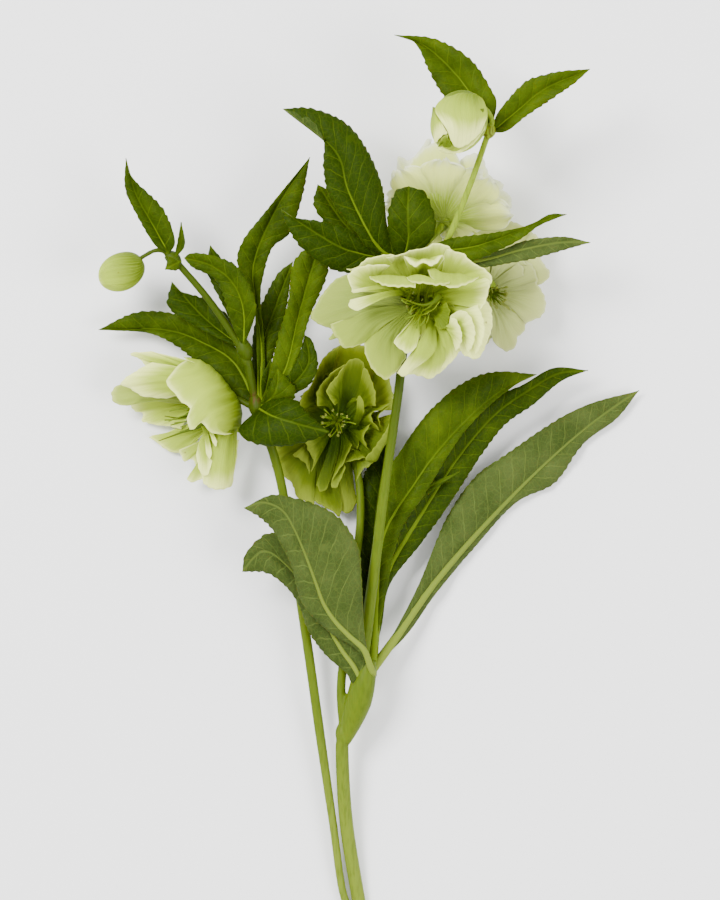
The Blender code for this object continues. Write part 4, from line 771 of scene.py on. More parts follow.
# LIP_STRENGTH sets the pale lip with its painted highlight; DEEP_TONES fade it out on petals deep in shade.
LIP_STRENGTH = 0.65
DEEP_TONES = (-1.9, -1.1)
# DULL_FROM, DULL_UNTIL and DULL_STRENGTH lay the dull colour, a painted shade, on petals of middling dark
# tone.
DULL_FROM = (-0.3, -0.5)
DULL_UNTIL = (-0.6, -0.8)
DULL_STRENGTH = 0.7
SPECK_SCALE = 150.0
SPECK_SHARE = 0.10
SPECK_EDGE = (0.03, 0.10)
SPECK_STRENGTH = 0.6
PETAL_RELIEF = 0.00030

# Patterns of the stem and the stamens, in metres.
STREAK_SQUEEZE = 9.0
STREAK_SCALE = 120.0
STEM_GRAIN_SCALE = 1900.0
STEM_RELIEF = 0.00020
STAMEN_GRAIN_SCALE = 2500.0
STAMEN_RELIEF = 0.00012


def unit(vector):
    """The vector at length one."""
    vector = np.asarray(vector, dtype=float)
    return vector / max(np.linalg.norm(vector), TINY)


def units(vectors):
    """Many vectors, each at length one."""
    return vectors / np.maximum(np.linalg.norm(vectors, axis=-1, keepdims=True), TINY)


def path_length(points):
    """How long the path through close points is."""
    return np.linalg.norm(np.diff(points, axis=0), axis=1).sum()


def smooth_path(points, count):
    """Evenly spaced points on a smooth curve through the given points."""
    given = np.asarray(points, dtype=float)
    if len(given) == 2:
        share = np.linspace(0.0, 1.0, count)[:, None]
        return given[0] * (1.0 - share) + given[1] * share
    padded = np.vstack((2 * given[0] - given[1], given, 2 * given[-1] - given[-2]))
    t = (np.arange(CURVE_STEPS) / CURVE_STEPS)[:, None]
    fine = []
    for i in range(1, len(padded) - 2):
        p0, p1, p2, p3 = padded[i - 1:i + 3]
        fine.append(0.5 * (2 * p1 + (p2 - p0) * t + (2 * p0 - 5 * p1 + 4 * p2 - p3) * t ** 2
                           + (3 * p1 - p0 - 3 * p2 + p3) * t ** 3))
    fine = np.vstack(fine + [given[-1:]])
    lengths = np.concatenate(([0.0], np.cumsum(np.linalg.norm(np.diff(fine, axis=0), axis=1))))
    wanted = np.linspace(0.0, lengths[-1], count)
    return np.column_stack([np.interp(wanted, lengths, fine[:, k]) for k in range(3)])


def spread(values, count):
    """A short list of values, read evenly at count places."""
    return np.interp(np.linspace(0.0, 1.0, count), np.linspace(0.0, 1.0, len(values)), values)


def ripple(shares, count, phase):
    """A wave that never repeats exactly, between about -1 and 1."""
    turn = 2 * math.pi * shares * count
    return 0.6 * np.sin(turn + phase) + 0.4 * np.sin(1.7 * turn + 2.3 * phase)


class Pile:
    """Corners, faces and per-corner values that together become one mesh."""

    def __init__(self):
        self.corners = []
        self.faces = []
        self.values = []
        self.kinds = []
        self.count = 0

    def add(self, corners, quads, values, kinds):
        """Take in a body: corners in millimetres, quads, and two value triples a corner."""
        self.corners.append(corners)
        self.faces.append(np.asarray(quads) + self.count)
        self.values.append(values)
        self.kinds.append(np.broadcast_to(kinds, (len(corners), 3)))
        self.count += len(corners)

    def finish(self, name, material):
        """The mesh object, kept inside the box of the model that it dresses."""
        corners = (np.vstack(self.corners) - ORIGIN) * MM
        low, high = np.array(CAD_BOX[0]), np.array(CAD_BOX[1])
        corners = np.clip(corners, low + EDGE_MARGIN * MM, high - EDGE_MARGIN * MM)
        quads = np.vstack(self.faces)
        mesh = bpy.data.meshes.new(name)
        mesh.vertices.add(len(corners))
        mesh.vertices.foreach_set("co", corners.ravel())
        mesh.loops.add(quads.size)
        mesh.loops.foreach_set("vertex_index", quads.ravel())
        mesh.polygons.add(len(quads))
        mesh.polygons.foreach_set("loop_start", np.arange(len(quads)) * 4)
        mesh.update(calc_edges=True)
        for label, rows in (("place", self.values), ("kind", self.kinds)):
            layer = mesh.attributes.new(label, "FLOAT_VECTOR", "POINT")
            layer.data.foreach_set("vector", np.vstack(rows).astype(np.float32).ravel())
        mesh.shade_smooth()
        mesh.materials.append(material)
        made = bpy.data.objects.new(name, mesh)
        bpy.context.scene.collection.objects.link(made)
        return made


def grid_quads(rows, columns, closed=False):
    """The quads of a grid of corners, joined round its columns where closed."""
    r = np.arange(rows - 1)[:, None]
    c = np.arange(columns if closed else columns - 1)[None, :]
    after = (c + 1) % columns
    a, b = r * columns + c, (r + 1) * columns + c
    d, e = (r + 1) * columns + after, r * columns + after
    return np.stack((a, b, d, e), axis=-1).reshape(-1, 4)


def grid_rim(rows, columns):
    """The corners round the rim of a grid, in order."""
    return np.concatenate((np.arange(columns), np.arange(1, rows) * columns + columns - 1,
                           (rows - 1) * columns + np.arange(columns - 2, -1, -1),
                           np.arange(rows - 2, 0, -1) * columns))


def sheet_normals(grid):
    """The way that a grid of points faces at each of them."""
    return units(np.cross(np.gradient(grid, axis=0), np.gradient(grid, axis=1)))


def add_sheet(pile, grid, thickness, values, kind_top, kind_bottom):
    """A thin closed blade about the grid of middle points, thinner towards its rim."""
    rows, columns = grid.shape[:2]
    normals = sheet_normals(grid)
    along = np.linspace(0.0, 1.0, rows)[:, None]
    side = np.abs(np.linspace(-1.0, 1.0, columns))[None, :]
    half = thickness / 2 * (1.0 - SIDE_THINNING * side ** 6) * (1.0 - TIP_THINNING * along ** 8)
    top = (grid + normals * half[..., None]).reshape(-1, 3)
    bottom = (grid - normals * half[..., None]).reshape(-1, 3)
    size = rows * columns
    quads = grid_quads(rows, columns)
    under = quads[:, ::-1] + size
    rim = grid_rim(rows, columns)
    after = np.roll(rim, -1)
    walls = np.stack((rim, after, after + size, rim + size), axis=1)
    kinds = np.repeat((kind_top, kind_bottom), size, axis=0)
    pile.add(np.vstack((top, bottom)), np.vstack((quads, under, walls)),
             np.tile(values.reshape(-1, 3), (2, 1)), kinds)


def tube_rings(points, radii, count, sides):
    """Rings of corners round a smooth route, and the middle of each ring."""
    path = smooth_path(points, count)
    sizes = spread(radii, count)
    tangents = np.gradient(path, axis=0)
    upright = abs(unit(tangents[0])[2]) > 0.9
    normal = np.array((1.0, 0.0, 0.0) if upright else (0.0, 0.0, 1.0))
    turn = 2 * math.pi * (np.arange(sides) + 0.5) / sides
    rings = np.zeros((count, sides, 3))
    for row in range(count):
        forward = unit(tangents[row])
        normal = unit(normal - forward * normal.dot(forward))
        across = np.cross(forward, normal)
        rings[row] = path[row] + sizes[row] * (np.cos(turn)[:, None] * normal
                                               + np.sin(turn)[:, None] * across)
    return rings, path


def add_tube(pile, points, radii, count, sides, kind=PLAIN):
    """A round rod with blunt ends, closed but for a pinhole."""
    rings, path = tube_rings(points, radii, count, sides)
    first = path[0] + (rings[0] - path[0]) * END_PINCH
    last = path[-1] + (rings[-1] - path[-1]) * END_PINCH
    rings = np.concatenate((first[None], rings, last[None]))
    rows = count + 2
    along = np.broadcast_to(np.linspace(0.0, 1.0, rows)[:, None, None], (rows, sides, 1))
    turn = np.broadcast_to(np.linspace(0.0, 1.0, sides)[None, :, None], (rows, sides, 1))
    values = np.concatenate((turn, along, np.zeros((rows, sides, 1))), axis=2)
    pile.add(rings.reshape(-1, 3), grid_quads(rows, sides, True)[:, ::-1],
             values.reshape(-1, 3), kind)


def bloom_frame(facing):
    """The three axes of a bloom that looks along facing, as the columns of a matrix."""
    axis = unit(facing)
    right = np.array((1.0, 0.0, 0.0)) if abs(axis[0]) < 0.8 else np.array((0.0, 0.0, -1.0))
    right = unit(right - axis * right.dot(axis))
    return np.column_stack((right, np.cross(axis, right), axis))


def leaf_edge(rib, outline, middle, rise):
    """One edge of a leaf through its outline, lifted over its rib by rise."""
    foot, tip = np.array(rib[0]) * (1, 1, 0), np.array(rib[-1]) * (1, 1, 0)
    edge = smooth_path([foot] + [(x, y, 0.0) for x, y in outline] + [tip], len(middle))
    along = np.linspace(0.0, 1.0, len(middle))
    edge[:, 2] = middle[:, 2] + rise * np.sin(math.pi * along) ** 0.7
    return edge


def tooth_push(along, length, reach, phase):
    """How far the teeth push a leaf's edge out, or in where below nought."""
    teeth = max(int(length / TOOTH_SPACING), FEWEST_TEETH)
    cycle = (along * teeth + 0.13 * np.sin(along * 31.0 + phase)) % 1.0
    size = TOOTH_SIZE * np.clip(reach / TOOTH_FULL_REACH, 0.0, 1.0)
    size = size * np.clip((along - TOOTH_START) * 6, 0.0, 1.0)
    return size * (np.where(cycle < TOOTH_RISE, cycle / TOOTH_RISE, (1.0 - cycle) / TOOTH_FALL) - 0.75)


def leaf_half(grid, place, middle, edge, sign, wave, phases):
    """Fill in one half of a leaf: arched and waved, with sunken side veins and a toothed edge."""
    rows, columns = grid.shape[:2]
    along = np.linspace(0.0, 1.0, rows)
    side = np.linspace(-1.0, 1.0, columns)
    length = path_length(middle)
    outward = edge - middle
    reach = np.linalg.norm(outward, axis=1)
    outward /= np.maximum(reach, 0.01)[:, None]
    forward = units(np.gradient(middle, axis=0))
    push = tooth_push(along, length, reach, phases[0])
    wide = np.maximum(reach, LEAF_LEAST_REACH)
    envelope = np.sin(math.pi * np.clip(along * 1.04, 0, 1)) ** 0.6
    stagger = 0.5 * VEIN_SPACING if sign > 0 else 0.0
    for column in np.nonzero(side * sign >= 0)[0]:
        s = abs(side[column])
        arch = ARCH_SHARE * reach * math.sin(math.pi * s) + ARCH_HEIGHT * np.sin(math.pi * s)
        sway = wave * s ** 2 * ripple(along, length / WAVE_LENGTH, phases[1] + 0.7 * sign)
        fine = FINE_WAVE * wave * s ** 3 * ripple(along, length / FINE_WAVE_LENGTH, phases[2] + sign)
        across = s * wide
        vein = along * length - across * VEIN_LEAN + VEIN_CURVE * across ** 2
        vein = (vein + stagger) / VEIN_SPACING
        groove = np.exp(-((vein - np.round(vein)) / GROOVE_WIDTH) ** 2)
        relief = -GROOVE_DEPTH * groove * (1 - s ** 4) * np.clip(across, 0, 1)
        puff = -PUFF_HEIGHT * np.cos(2 * math.pi * vein) * s * (1 - s ** 3)
        line = middle + outward * (wide * s + push * s ** 10)[:, None]
        line = line + forward * (0.5 * push * s ** 10)[:, None]
        line[:, 2] += (arch + relief + puff) * np.clip(reach / 4, 0, 1) + (sway + fine) * envelope
        grid[:, column] = line
        place[:, column, 0] = sign * across
        place[:, column, 1] = along * length
        place[:, column, 2] = s


def leaf_rib(pile, rib, length, face_down, tone):
    """The rib on the side of a leaf that shows, its foot sunk into the sleeve."""
    drop = np.linspace(0.55, 0.25, RIB_POINTS)[:, None] * (0.0, 0.0, 1.0)
    if face_down:
        drop = -0.6 * drop
    ridge = smooth_path(rib, RIB_POINTS) - drop
    ridge[0, 2] -= 0.8
    sunk = min(max((length - 40.0) * 0.06, 0.3), RIB_SUNK)
    tail = ridge[0] - unit((ridge[1] - ridge[0]) * (1, 1, 0)) * sunk - (0.0, 0.0, 0.8 * sunk)
    radii = (0.5 + 0.008 * length) * np.array(RIB_TAPER)
    kind = (0.0 if face_down else 1.0, tone, 0.9)
    add_tube(pile, np.vstack((tail, ridge)), radii, RIB_ROWS, RIB_SIDES, kind)


def leaf_sheet(pile, spec, look, seed):
    """One fine leaf with its rib."""
    rib, left, right, lift = spec
    tone, face_down, wave = look
    rows, columns = LEAF_ROWS, LEAF_COLUMNS
    middle = smooth_path(rib, rows)
    phases = np.random.default_rng(seed).uniform(0, 2 * math.pi, 4)
    grid = np.zeros((rows, columns, 3))
    place = np.zeros((rows, columns, 3))
    for sign, outline, rise in ((-1, left, lift[0]), (1, right, lift[1])):
        edge = leaf_edge(rib, outline, middle, rise)
        leaf_half(grid, place, middle, edge, sign, wave, phases)
    along = np.linspace(0.0, 1.0, rows)[:, None]
    notch = np.exp(-(np.linspace(-1.0, 1.0, columns) * 9.0) ** 2)[None, :]
    grid[:, :, 2] -= FOLD_DEPTH * notch * (1.0 - along)
    green, grey_green = (1.0, tone, 0.0), (0.0, tone, 0.0)
    seen, hidden = (grey_green, green) if face_down else (green, grey_green)
    here, ahead = grid[rows // 2, columns // 2], grid[rows // 2 + 1, columns // 2]
    beside = grid[rows // 2, columns // 2 + 2]
    if np.cross(ahead - here, beside - here)[2] <= 0:
        seen, hidden = hidden, seen
    add_sheet(pile, grid, LEAF_THICKNESS, place, seen, hidden)
    leaf_rib(pile, rib, path_length(middle), face_down, tone)


def petal_sheet(pile, frame3, middle, spec, ruffle, seed):
    """One fine petal: a waved, ruffled spoon with a narrow claw."""
    azimuth, length, width, opening, curl, wave = spec
    rows, columns = PETAL_ROWS, PETAL_COLUMNS
    draw = np.random.default_rng(seed)
    phases = draw.uniform(0, 2 * math.pi, 6)
    turn = math.radians(azimuth)
    outward = np.array((math.cos(turn), math.sin(turn), 0.0))
    sideways = np.array((-math.sin(turn), math.cos(turn), 0.0))
    axis = np.array((0.0, 0.0, 1.0))
    along = np.linspace(0.0, 1.0, rows)
    side = np.linspace(-1.0, 1.0, columns)
    lean = np.radians(opening + (curl - opening) * along ** 1.2)
    lip_turn = np.radians(draw.uniform(*LIP_CURL))
    lean = lean + lip_turn * np.clip(along - LIP_START, 0, 1) / LIP_LENGTH
    forward = np.sin(lean)[:, None] * outward + np.cos(lean)[:, None] * axis
    inward = -np.cos(lean)[:, None] * outward + np.sin(lean)[:, None] * axis
    reached = np.vstack((np.zeros(3), np.cumsum(forward[:-1], axis=0))) * (length / (rows - 1))
    spine = outward * PETAL_ROOT_RADIUS + reached
    spine = spine + sideways * (draw.uniform(-PETAL_STRAY, PETAL_STRAY) * length * along ** 2)[:, None]
    half = width / 2 * (0.10 + 0.90 * np.sin(math.pi * np.minimum(along * 0.70, 0.5)))
    rounding = np.sqrt(np.maximum(1 - ((along - ROUND_START) / ROUND_LENGTH) ** 2, 0.02))
    half = half * np.where(along > ROUND_START, rounding, 1.0)
    lip = 1.0 + 0.035 * np.sin(side * 7 + phases[0]) + 0.02 * np.sin(side * 17 + phases[1])
    grid = np.zeros((rows, columns, 3))
    for column, s in enumerate(side):
        cup = PETAL_CUP * half * s ** 2 * (1.0 - 0.55 * along)
        edge = np.maximum(abs(s) ** 2.5, along ** 5)
        reach = ruffle * edge * np.clip(along * 1.5, 0, 1)
        loop = along * length * 0.22 + abs(s) * 3.0
        pace, phase = (2.1, phases[2]) if s > 0 else (1.8, phases[3])
        wavy = reach * (0.75 * np.sin(loop * pace + phase)
                        + 0.45 * np.sin(s * 9.0 + along * 5.0 + phases[4]))
        broad = wave * along * np.sin(s * 4.2 + turn * 3)
        fold = MIDDLE_FOLD * math.exp(-(s * 5) ** 2) * np.sin(math.pi * along)
        stretch = (lip[column] - 1.0) * along ** 4
        line = spine + sideways * (s * half)[:, None]
        line = line + inward * (cup + wavy + broad - fold)[:, None]
        grid[:, column] = line + forward * (stretch * length)[:, None]
    add_sheet(pile, grid @ frame3.T + middle, PETAL_SKIN, petal_places(rows, columns, seed), PLAIN, PLAIN)


def petal_places(rows, columns, seed):
    """The values that a petal's colours follow: across it, along it and its own number."""
    side = np.linspace(-1.0, 1.0, columns)[None, :]
    along = np.linspace(0.0, 1.0, rows)[:, None]
    return np.stack((np.broadcast_to(side, (rows, columns)), np.broadcast_to(along, (rows, columns)),
                     np.full((rows, columns), seed % 97 / 97.0)), axis=-1)


def in_mm(places):
    """Places in steps of the photograph's grid, as places in millimetres."""
    return np.array(places) * (GRID_STEP, GRID_STEP, 1.0)


def loft_petal(pile, spec, ruffle, seed):
    """One petal through its measured curves, from a narrow claw to a ruffled lip."""
    tone, root, *rails = spec
    rows, columns = PETAL_ROWS, PETAL_COLUMNS
    phases = np.random.default_rng(seed).uniform(0, 2 * math.pi, 4)
    lines = [smooth_path(in_mm(rail), columns) for rail in rails]
    side = np.linspace(-1.0, 1.0, columns)
    across = unit(lines[0][-1] - lines[0][0])
    first = in_mm(root) + across * (PETAL_CLAW * side)[:, None]
    stack = np.stack([first] + lines)
    grid = np.stack([smooth_path(stack[:, column], rows) for column in range(columns)], axis=1)
    along = np.linspace(0.0, 1.0, rows)[:, None]
    loops = side[None, :] * path_length(lines[-1]) / RUFFLE_LENGTH
    wave = ruffle * along ** 4 * (0.6 * np.sin(loops * 2.1 + phases[0])
                                  + 0.4 * np.sin(loops * 4.3 + phases[1]))
    folds = FOLD_HEIGHT * np.sin(math.pi * along) * np.sin(loops * 3.0 + phases[2])
    grid = grid + sheet_normals(grid) * (wave + folds)[..., None]
    forward = units(np.gradient(grid, axis=0))
    nibble = NIBBLE_SIZE * along ** 8 * np.sin(loops * 6.7 + phases[3]) * np.abs(np.sin(loops * 1.3))
    grid = grid + forward * nibble[..., None]
    kind = (tone, 0.0, 0.0)
    add_sheet(pile, grid, PETAL_SKIN, petal_places(rows, columns, seed), kind, kind)


def around(turn):
    """A level direction, turned about a bloom's axis."""
    return np.array((math.cos(turn), math.sin(turn), 0.0))


def stamen_cluster(pile, frame3, middle, count, reach, seed):
    """The stamens round the seed cases, each a thin stalk with a small two-lobed head."""
    draw = np.random.default_rng(seed)
    for k in range(count):
        direction = around(2 * math.pi * (k * GOLDEN_TURN + draw.uniform(-0.02, 0.02)))
        away = STAMEN_SPREAD * (0.45 + 0.55 * draw.random())
        high = reach * (0.72 + 0.28 * draw.random())
        root = direction * 1.5 + (0, 0, STAMEN_FOOT)
        elbow = direction * (0.35 * away + 1.0) + (0, 0, STAMEN_FOOT + 0.5 * high)
        head = direction * away + (0, 0, STAMEN_FOOT + high)
        add_tube(pile, np.array((root, elbow, head)) @ frame3.T + middle, STALK_RADII, 8, 6)
        aim = unit(head - elbow)
        across = unit(np.cross(aim, (0.3, 0.2, 0.9)))
        for lobe in (-1, 1):
            start = head - aim * 0.3 + across * 0.28 * lobe
            end = head + aim * 1.1 + across * 0.30 * lobe
            ends = np.array((start, end)) @ frame3.T + middle
            add_tube(pile, ends, HEAD_RADII, 7, 7, HEAD_KIND)


def seed_cases(pile, frame3, middle, reach):
    """The pointed seed cases in the middle of a bloom, each with its long curved style."""
    for k in range(CASE_COUNT):
        direction = around(2 * math.pi * (k + 0.2) / CASE_COUNT)
        route = [direction * 0.7 + (0, 0, CASE_FOOT), direction * 1.5 + (0, 0, 6.0),
                 direction * (1.2 + 0.4 * CASE_SPREAD) + (0, 0, 0.72 * reach + CASE_FOOT),
                 direction * CASE_SPREAD + (0, 0, reach + CASE_FOOT)]
        add_tube(pile, np.array(route) @ frame3.T + middle, CASE_RADII, 26, 10, CASE_KIND)


def bud_sepal(number, half_length, radius):
    """The grid of one broad sepal of a closed bud, and the values that its colours follow."""
    share = np.linspace(0.0, 1.0, BUD_ROWS)[:, None]
    reach = np.linspace(0.0, 1.0, BUD_COLUMNS)[None, :]
    polar = math.pi * (0.02 + 0.93 * share)
    narrow = np.sin(math.pi * share) ** 0.35
    width = (reach - 0.5) * BUD_SEPAL_WIDTH * (0.72 + 0.28 * narrow)
    turn = np.radians(360.0 / BUD_SEPAL_COUNT * number + BUD_TWIST * np.cos(polar) + width)
    girth = 1.0 - BUD_WRAP * (1.0 - reach) - 0.012 * np.sin(share * 9 + number)
    girth = girth - 0.07 * np.clip(1 - share * 3.2, 0, 1) * np.abs(reach - 0.5) * 2
    z = half_length * np.cos(polar) * np.ones_like(reach)
    ring = radius * np.sin(polar) * girth
    grid = np.stack((ring * np.cos(turn), ring * np.sin(turn), z * (1 - 0.35 * BUD_WRAP)), axis=-1)
    place = np.stack((np.broadcast_to(reach * 1.7 - 0.85, z.shape),
                      np.broadcast_to(0.97 - 0.9 * share, z.shape),
                      np.full(z.shape, number / BUD_SEPAL_COUNT)), axis=-1)
    return grid, place


def bud_skin(pile, spec):
    """A closed bud: broad sepals that wrap over each other, round a plain core."""
    middle, pointing, half_length, radius = spec
    frame3 = bloom_frame(pointing)
    for number in range(BUD_SEPAL_COUNT):
        grid, place = bud_sepal(number, half_length, radius)
        add_sheet(pile, grid @ frame3.T + np.array(middle), BUD_SEPAL_SKIN, place, PLAIN, PLAIN)
    rows, sides = BUD_CORE_GRID
    turn = 2 * math.pi * np.arange(sides) / sides
    core = []
    for row in np.linspace(0.0, 1.0, rows):
        polar = math.pi * row
        ring = 0.86 * radius * math.sin(polar) + 0.01
        height = np.full(sides, 0.90 * half_length * math.cos(polar))
        core.append(np.stack((ring * np.cos(turn), ring * np.sin(turn), height), axis=-1))
    corners = (np.array(core) @ frame3.T + np.array(middle)).reshape(-1, 3)
    values = np.broadcast_to((0.0, 0.4, 0.5), corners.shape)
    pile.add(corners, grid_quads(rows, sides, True), values, PLAIN)


class Nodes:
    """A short way to wire a material's nodes."""

    def __init__(self, name):
        self.material = bpy.data.materials.new(name)
        self.material.use_nodes = True
        self.tree = self.material.node_tree
        self.shader = self.tree.nodes["Principled BSDF"]

    def put(self, socket, value):
        """Set a socket to a number or colour, or link it."""
        if isinstance(value, bpy.types.NodeSocket):
            self.tree.links.new(value, socket)
        else:
            socket.default_value = value

    def shade(self, **inputs):
        """Set the shader's sockets, named with _ for a space."""
        for name, value in inputs.items():
            self.put(self.shader.inputs[name.replace("_", " ")], value)

    def parts(self, socket):
        """The three parts of a place."""
        node = self.tree.nodes.new("ShaderNodeSeparateXYZ")
        self.tree.links.new(socket, node.inputs[0])
        return tuple(node.outputs)

    def attribute(self, name):
        """The three parts of a corner value of the mesh, and the whole."""
        node = self.tree.nodes.new("ShaderNodeAttribute")
        node.attribute_name = name
        return self.parts(node.outputs["Vector"]) + (node.outputs["Vector"],)

    def position(self):
        """The three parts of the place on the object in metres, and the whole."""
        node = self.tree.nodes.new("ShaderNodeTexCoord")
        return self.parts(node.outputs["Object"]) + (node.outputs["Object"],)

    def math(self, operation, first, second=0.0, third=0.0):
        """One sum."""
        node = self.tree.nodes.new("ShaderNodeMath")
        node.operation = operation
        for socket, value in zip(node.inputs, (first, second, third)):
            self.put(socket, value)
        return node.outputs[0]

    def plus(self, first, second):
        """The sum of two values."""
        return self.math("ADD", first, second)

    def times(self, first, second):
        """The product of two values."""
        return self.math("MULTIPLY", first, second)

    def larger(self, first, second):
        """The larger of two values."""
        return self.math("MAXIMUM", first, second)

    def swing(self, value, size):
        """A value about one half as one about nought, size times as strong."""
        return self.times(self.math("SUBTRACT", value, 0.5), size)

    def gap(self, value):
        """How far a value is from the nearest whole number."""
        return self.math("ABSOLUTE", self.math("SUBTRACT", value, self.math("ROUND", value)))

    def fade(self, value, low, high, start=0.0, end=1.0):
        """A smooth step of value from start at low to end at high."""
        node = self.tree.nodes.new("ShaderNodeMapRange")
        node.interpolation_type = "SMOOTHSTEP"
        for name, number in (("Value", value), ("From Min", low), ("From Max", high),
                             ("To Min", start), ("To Max", end)):
            self.put(node.inputs[name], number)
        return node.outputs[0]

    def line(self, value, inner, outer, strength=1.0):
        """A soft line: strength where value is below inner, nought from outer on."""
        return self.fade(value, inner, outer, strength, 0.0)

    def mix(self, share, first, second):
        """A blend of two colours."""
        node = self.tree.nodes.new("ShaderNodeMix")
        node.data_type = "RGBA"
        for socket, value in ((0, share), (6, first), (7, second)):
            self.put(node.inputs[socket], value)
        return node.outputs[2]

    def vector(self, x, y, z=0.0):
        """Three numbers as a place."""
        node = self.tree.nodes.new("ShaderNodeCombineXYZ")
        for socket, value in zip(node.inputs, (x, y, z)):
            self.put(socket, value)
        return node.outputs[0]

    def noise(self, place, scale, detail=3.0, rough=0.55):
        """Cloudy numbers about one half."""
        node = self.tree.nodes.new("ShaderNodeTexNoise")
        for name, value in (("Vector", place), ("Scale", scale), ("Detail", detail),
                            ("Roughness", rough)):
            self.put(node.inputs[name], value)
        return node.outputs["Fac"]

    def cells(self, place, scale):
        """The distance to the nearest border of a net of cells."""
        node = self.tree.nodes.new("ShaderNodeTexVoronoi")
        node.feature = "DISTANCE_TO_EDGE"
        self.put(node.inputs["Vector"], place)
        self.put(node.inputs["Scale"], scale)
        return node.outputs["Distance"]

    def dots(self, place, scale):
        """Small round spots, in a share of the cells that SPECK_SHARE sets."""
        node = self.tree.nodes.new("ShaderNodeTexVoronoi")
        self.put(node.inputs["Vector"], place)
        self.put(node.inputs["Scale"], scale)
        chosen = self.math("GREATER_THAN", self.parts(node.outputs["Color"])[0], 1.0 - SPECK_SHARE)
        return self.times(chosen, self.line(node.outputs["Distance"], *SPECK_EDGE))

    def distance(self, place, middle):
        """How far a place is from a fixed one."""
        node = self.tree.nodes.new("ShaderNodeVectorMath")
        node.operation = "DISTANCE"
        self.put(node.inputs[0], place)
        self.put(node.inputs[1], middle)
        return node.outputs["Value"]

    def bump(self, height, distance, strength=1.0):
        """Relief under the shader."""
        node = self.tree.nodes.new("ShaderNodeBump")
        for name, value in (("Height", height), ("Distance", distance), ("Strength", strength)):
            self.put(node.inputs[name], value)
        self.put(self.shader.inputs["Normal"], node.outputs[0])


def grey(value):
    """A colour of three like numbers."""
    return (value, value, value, 1.0)


def leaf_veins(m, across, along, share, place):
    """How much of a vein there is at each place of a leaf: side veins, midrib and two fine nets."""
    away = m.math("ABSOLUTE", across)
    wander = m.swing(m.noise(place, SWAY_SCALE), SWAY_SIZE)
    leaned = m.math("MULTIPLY_ADD", away, -VEIN_LEAN, along)
    curved = m.math("MULTIPLY_ADD", m.times(away, away), VEIN_CURVE, leaned)
    half = m.times(m.math("GREATER_THAN", across, 0.0), 0.5)
    order = m.plus(m.math("DIVIDE", m.plus(curved, wander), VEIN_SPACING), half)
    side_veins = m.times(m.line(m.gap(order), *SIDE_VEIN_EDGE), m.fade(share, 0.55, 1.0, 1.0, 0.25))
    net = m.line(m.cells(m.vector(m.plus(across, wander), along), NET_SCALE), *NET_EDGE)
    fine = m.line(m.cells(m.vector(across, along), FINE_NET_SCALE), *FINE_NET_EDGE)
    veins = m.larger(m.larger(side_veins, m.line(away, *MIDRIB_EDGE)), m.times(net, NET_STRENGTH))
    return m.larger(veins, m.times(fine, FINE_NET_STRENGTH))


def leaf_material():
    """Satin green above with a pale sunken net of veins, matt grey-green below."""
    m = Nodes("leaf")
    across, along, share, place = m.attribute("place")
    upper, tone, rib, _ = m.attribute("kind")
    veins = m.larger(leaf_veins(m, across, along, share, place), rib)
    patch = m.noise(place, PATCH_SCALE, 4.0)
    # Painted light and shade, with the leaf's own random patches: each leaf's tone blends its dark and light
    # greens.
    lit = m.fade(m.plus(m.times(tone, 0.5), patch), 0.15, 0.95)
    top = m.mix(m.times(veins, VEIN_STRENGTH), m.mix(lit, LEAF_DARK, LEAF_LIGHT), LEAF_VEIN)
    low = m.mix(m.times(veins, UNDER_VEIN_STRENGTH), m.mix(lit, UNDER_DARK, UNDER_LIGHT), UNDER_VEIN)
    colour = m.mix(m.fade(share, 0.95, 1.0, 0.0, 0.35), m.mix(upper, low, top), LEAF_VEIN)
    ridge = m.times(rib, m.fade(along, 0.0, 0.9, 1.0, 0.15))
    colour = m.mix(ridge, colour, m.mix(upper, RIB_PALE, LEAF_VEIN))
    m.shade(Base_Color=colour, Roughness=m.fade(upper, 0.0, 1.0, *LEAF_ROUGHNESS),
            Specular_IOR_Level=LEAF_SHINE, Subsurface_Weight=0.06, Subsurface_Scale=0.0012)
    grain = m.times(m.noise(place, LEAF_GRAIN_SCALE, 2.0), 0.25)
    height = m.math("MULTIPLY_ADD", veins, m.fade(upper, 0.0, 1.0, 0.8, -0.8), grain)
    m.bump(height, LEAF_RELIEF, 0.8)
    return m.material


def petal_veins(m, side, along, cloud):
    """A fan of fine veins that wander, with finer forks between them, fading to the lip."""
    wander = m.swing(cloud, VEIN_WANDER)
    fan = m.gap(m.plus(m.times(side, FAN_COUNT), wander))
    fork = m.gap(m.plus(m.times(side, FORK_COUNT), m.times(wander, 3.0)))
    lines = m.larger(m.line(fan, *FAN_EDGE), m.line(fork, *FORK_EDGE, 0.5))
    return m.times(lines, m.fade(along, 0.25, 1.0, 0.75, 0.30))


def pale_lip_and_highlight(m, side, along, tone, dull_shade):
    """How much of the pale rim there is, a pale margin with a painted highlight: at the lip, and weaker on
    deep or dull petals, which lie in shade.
    """
    edge = m.times(m.fade(m.math("ABSOLUTE", side), 0.93, 0.99), m.fade(along, 0.55, 1.0))
    lip = m.larger(edge, m.fade(along, 0.95, 1.0))
    lip = m.times(lip, m.fade(tone, *DEEP_TONES, 0.0, LIP_STRENGTH))
    return m.times(lip, m.fade(dull_shade, 0.0, DULL_STRENGTH, 1.0, 0.25))


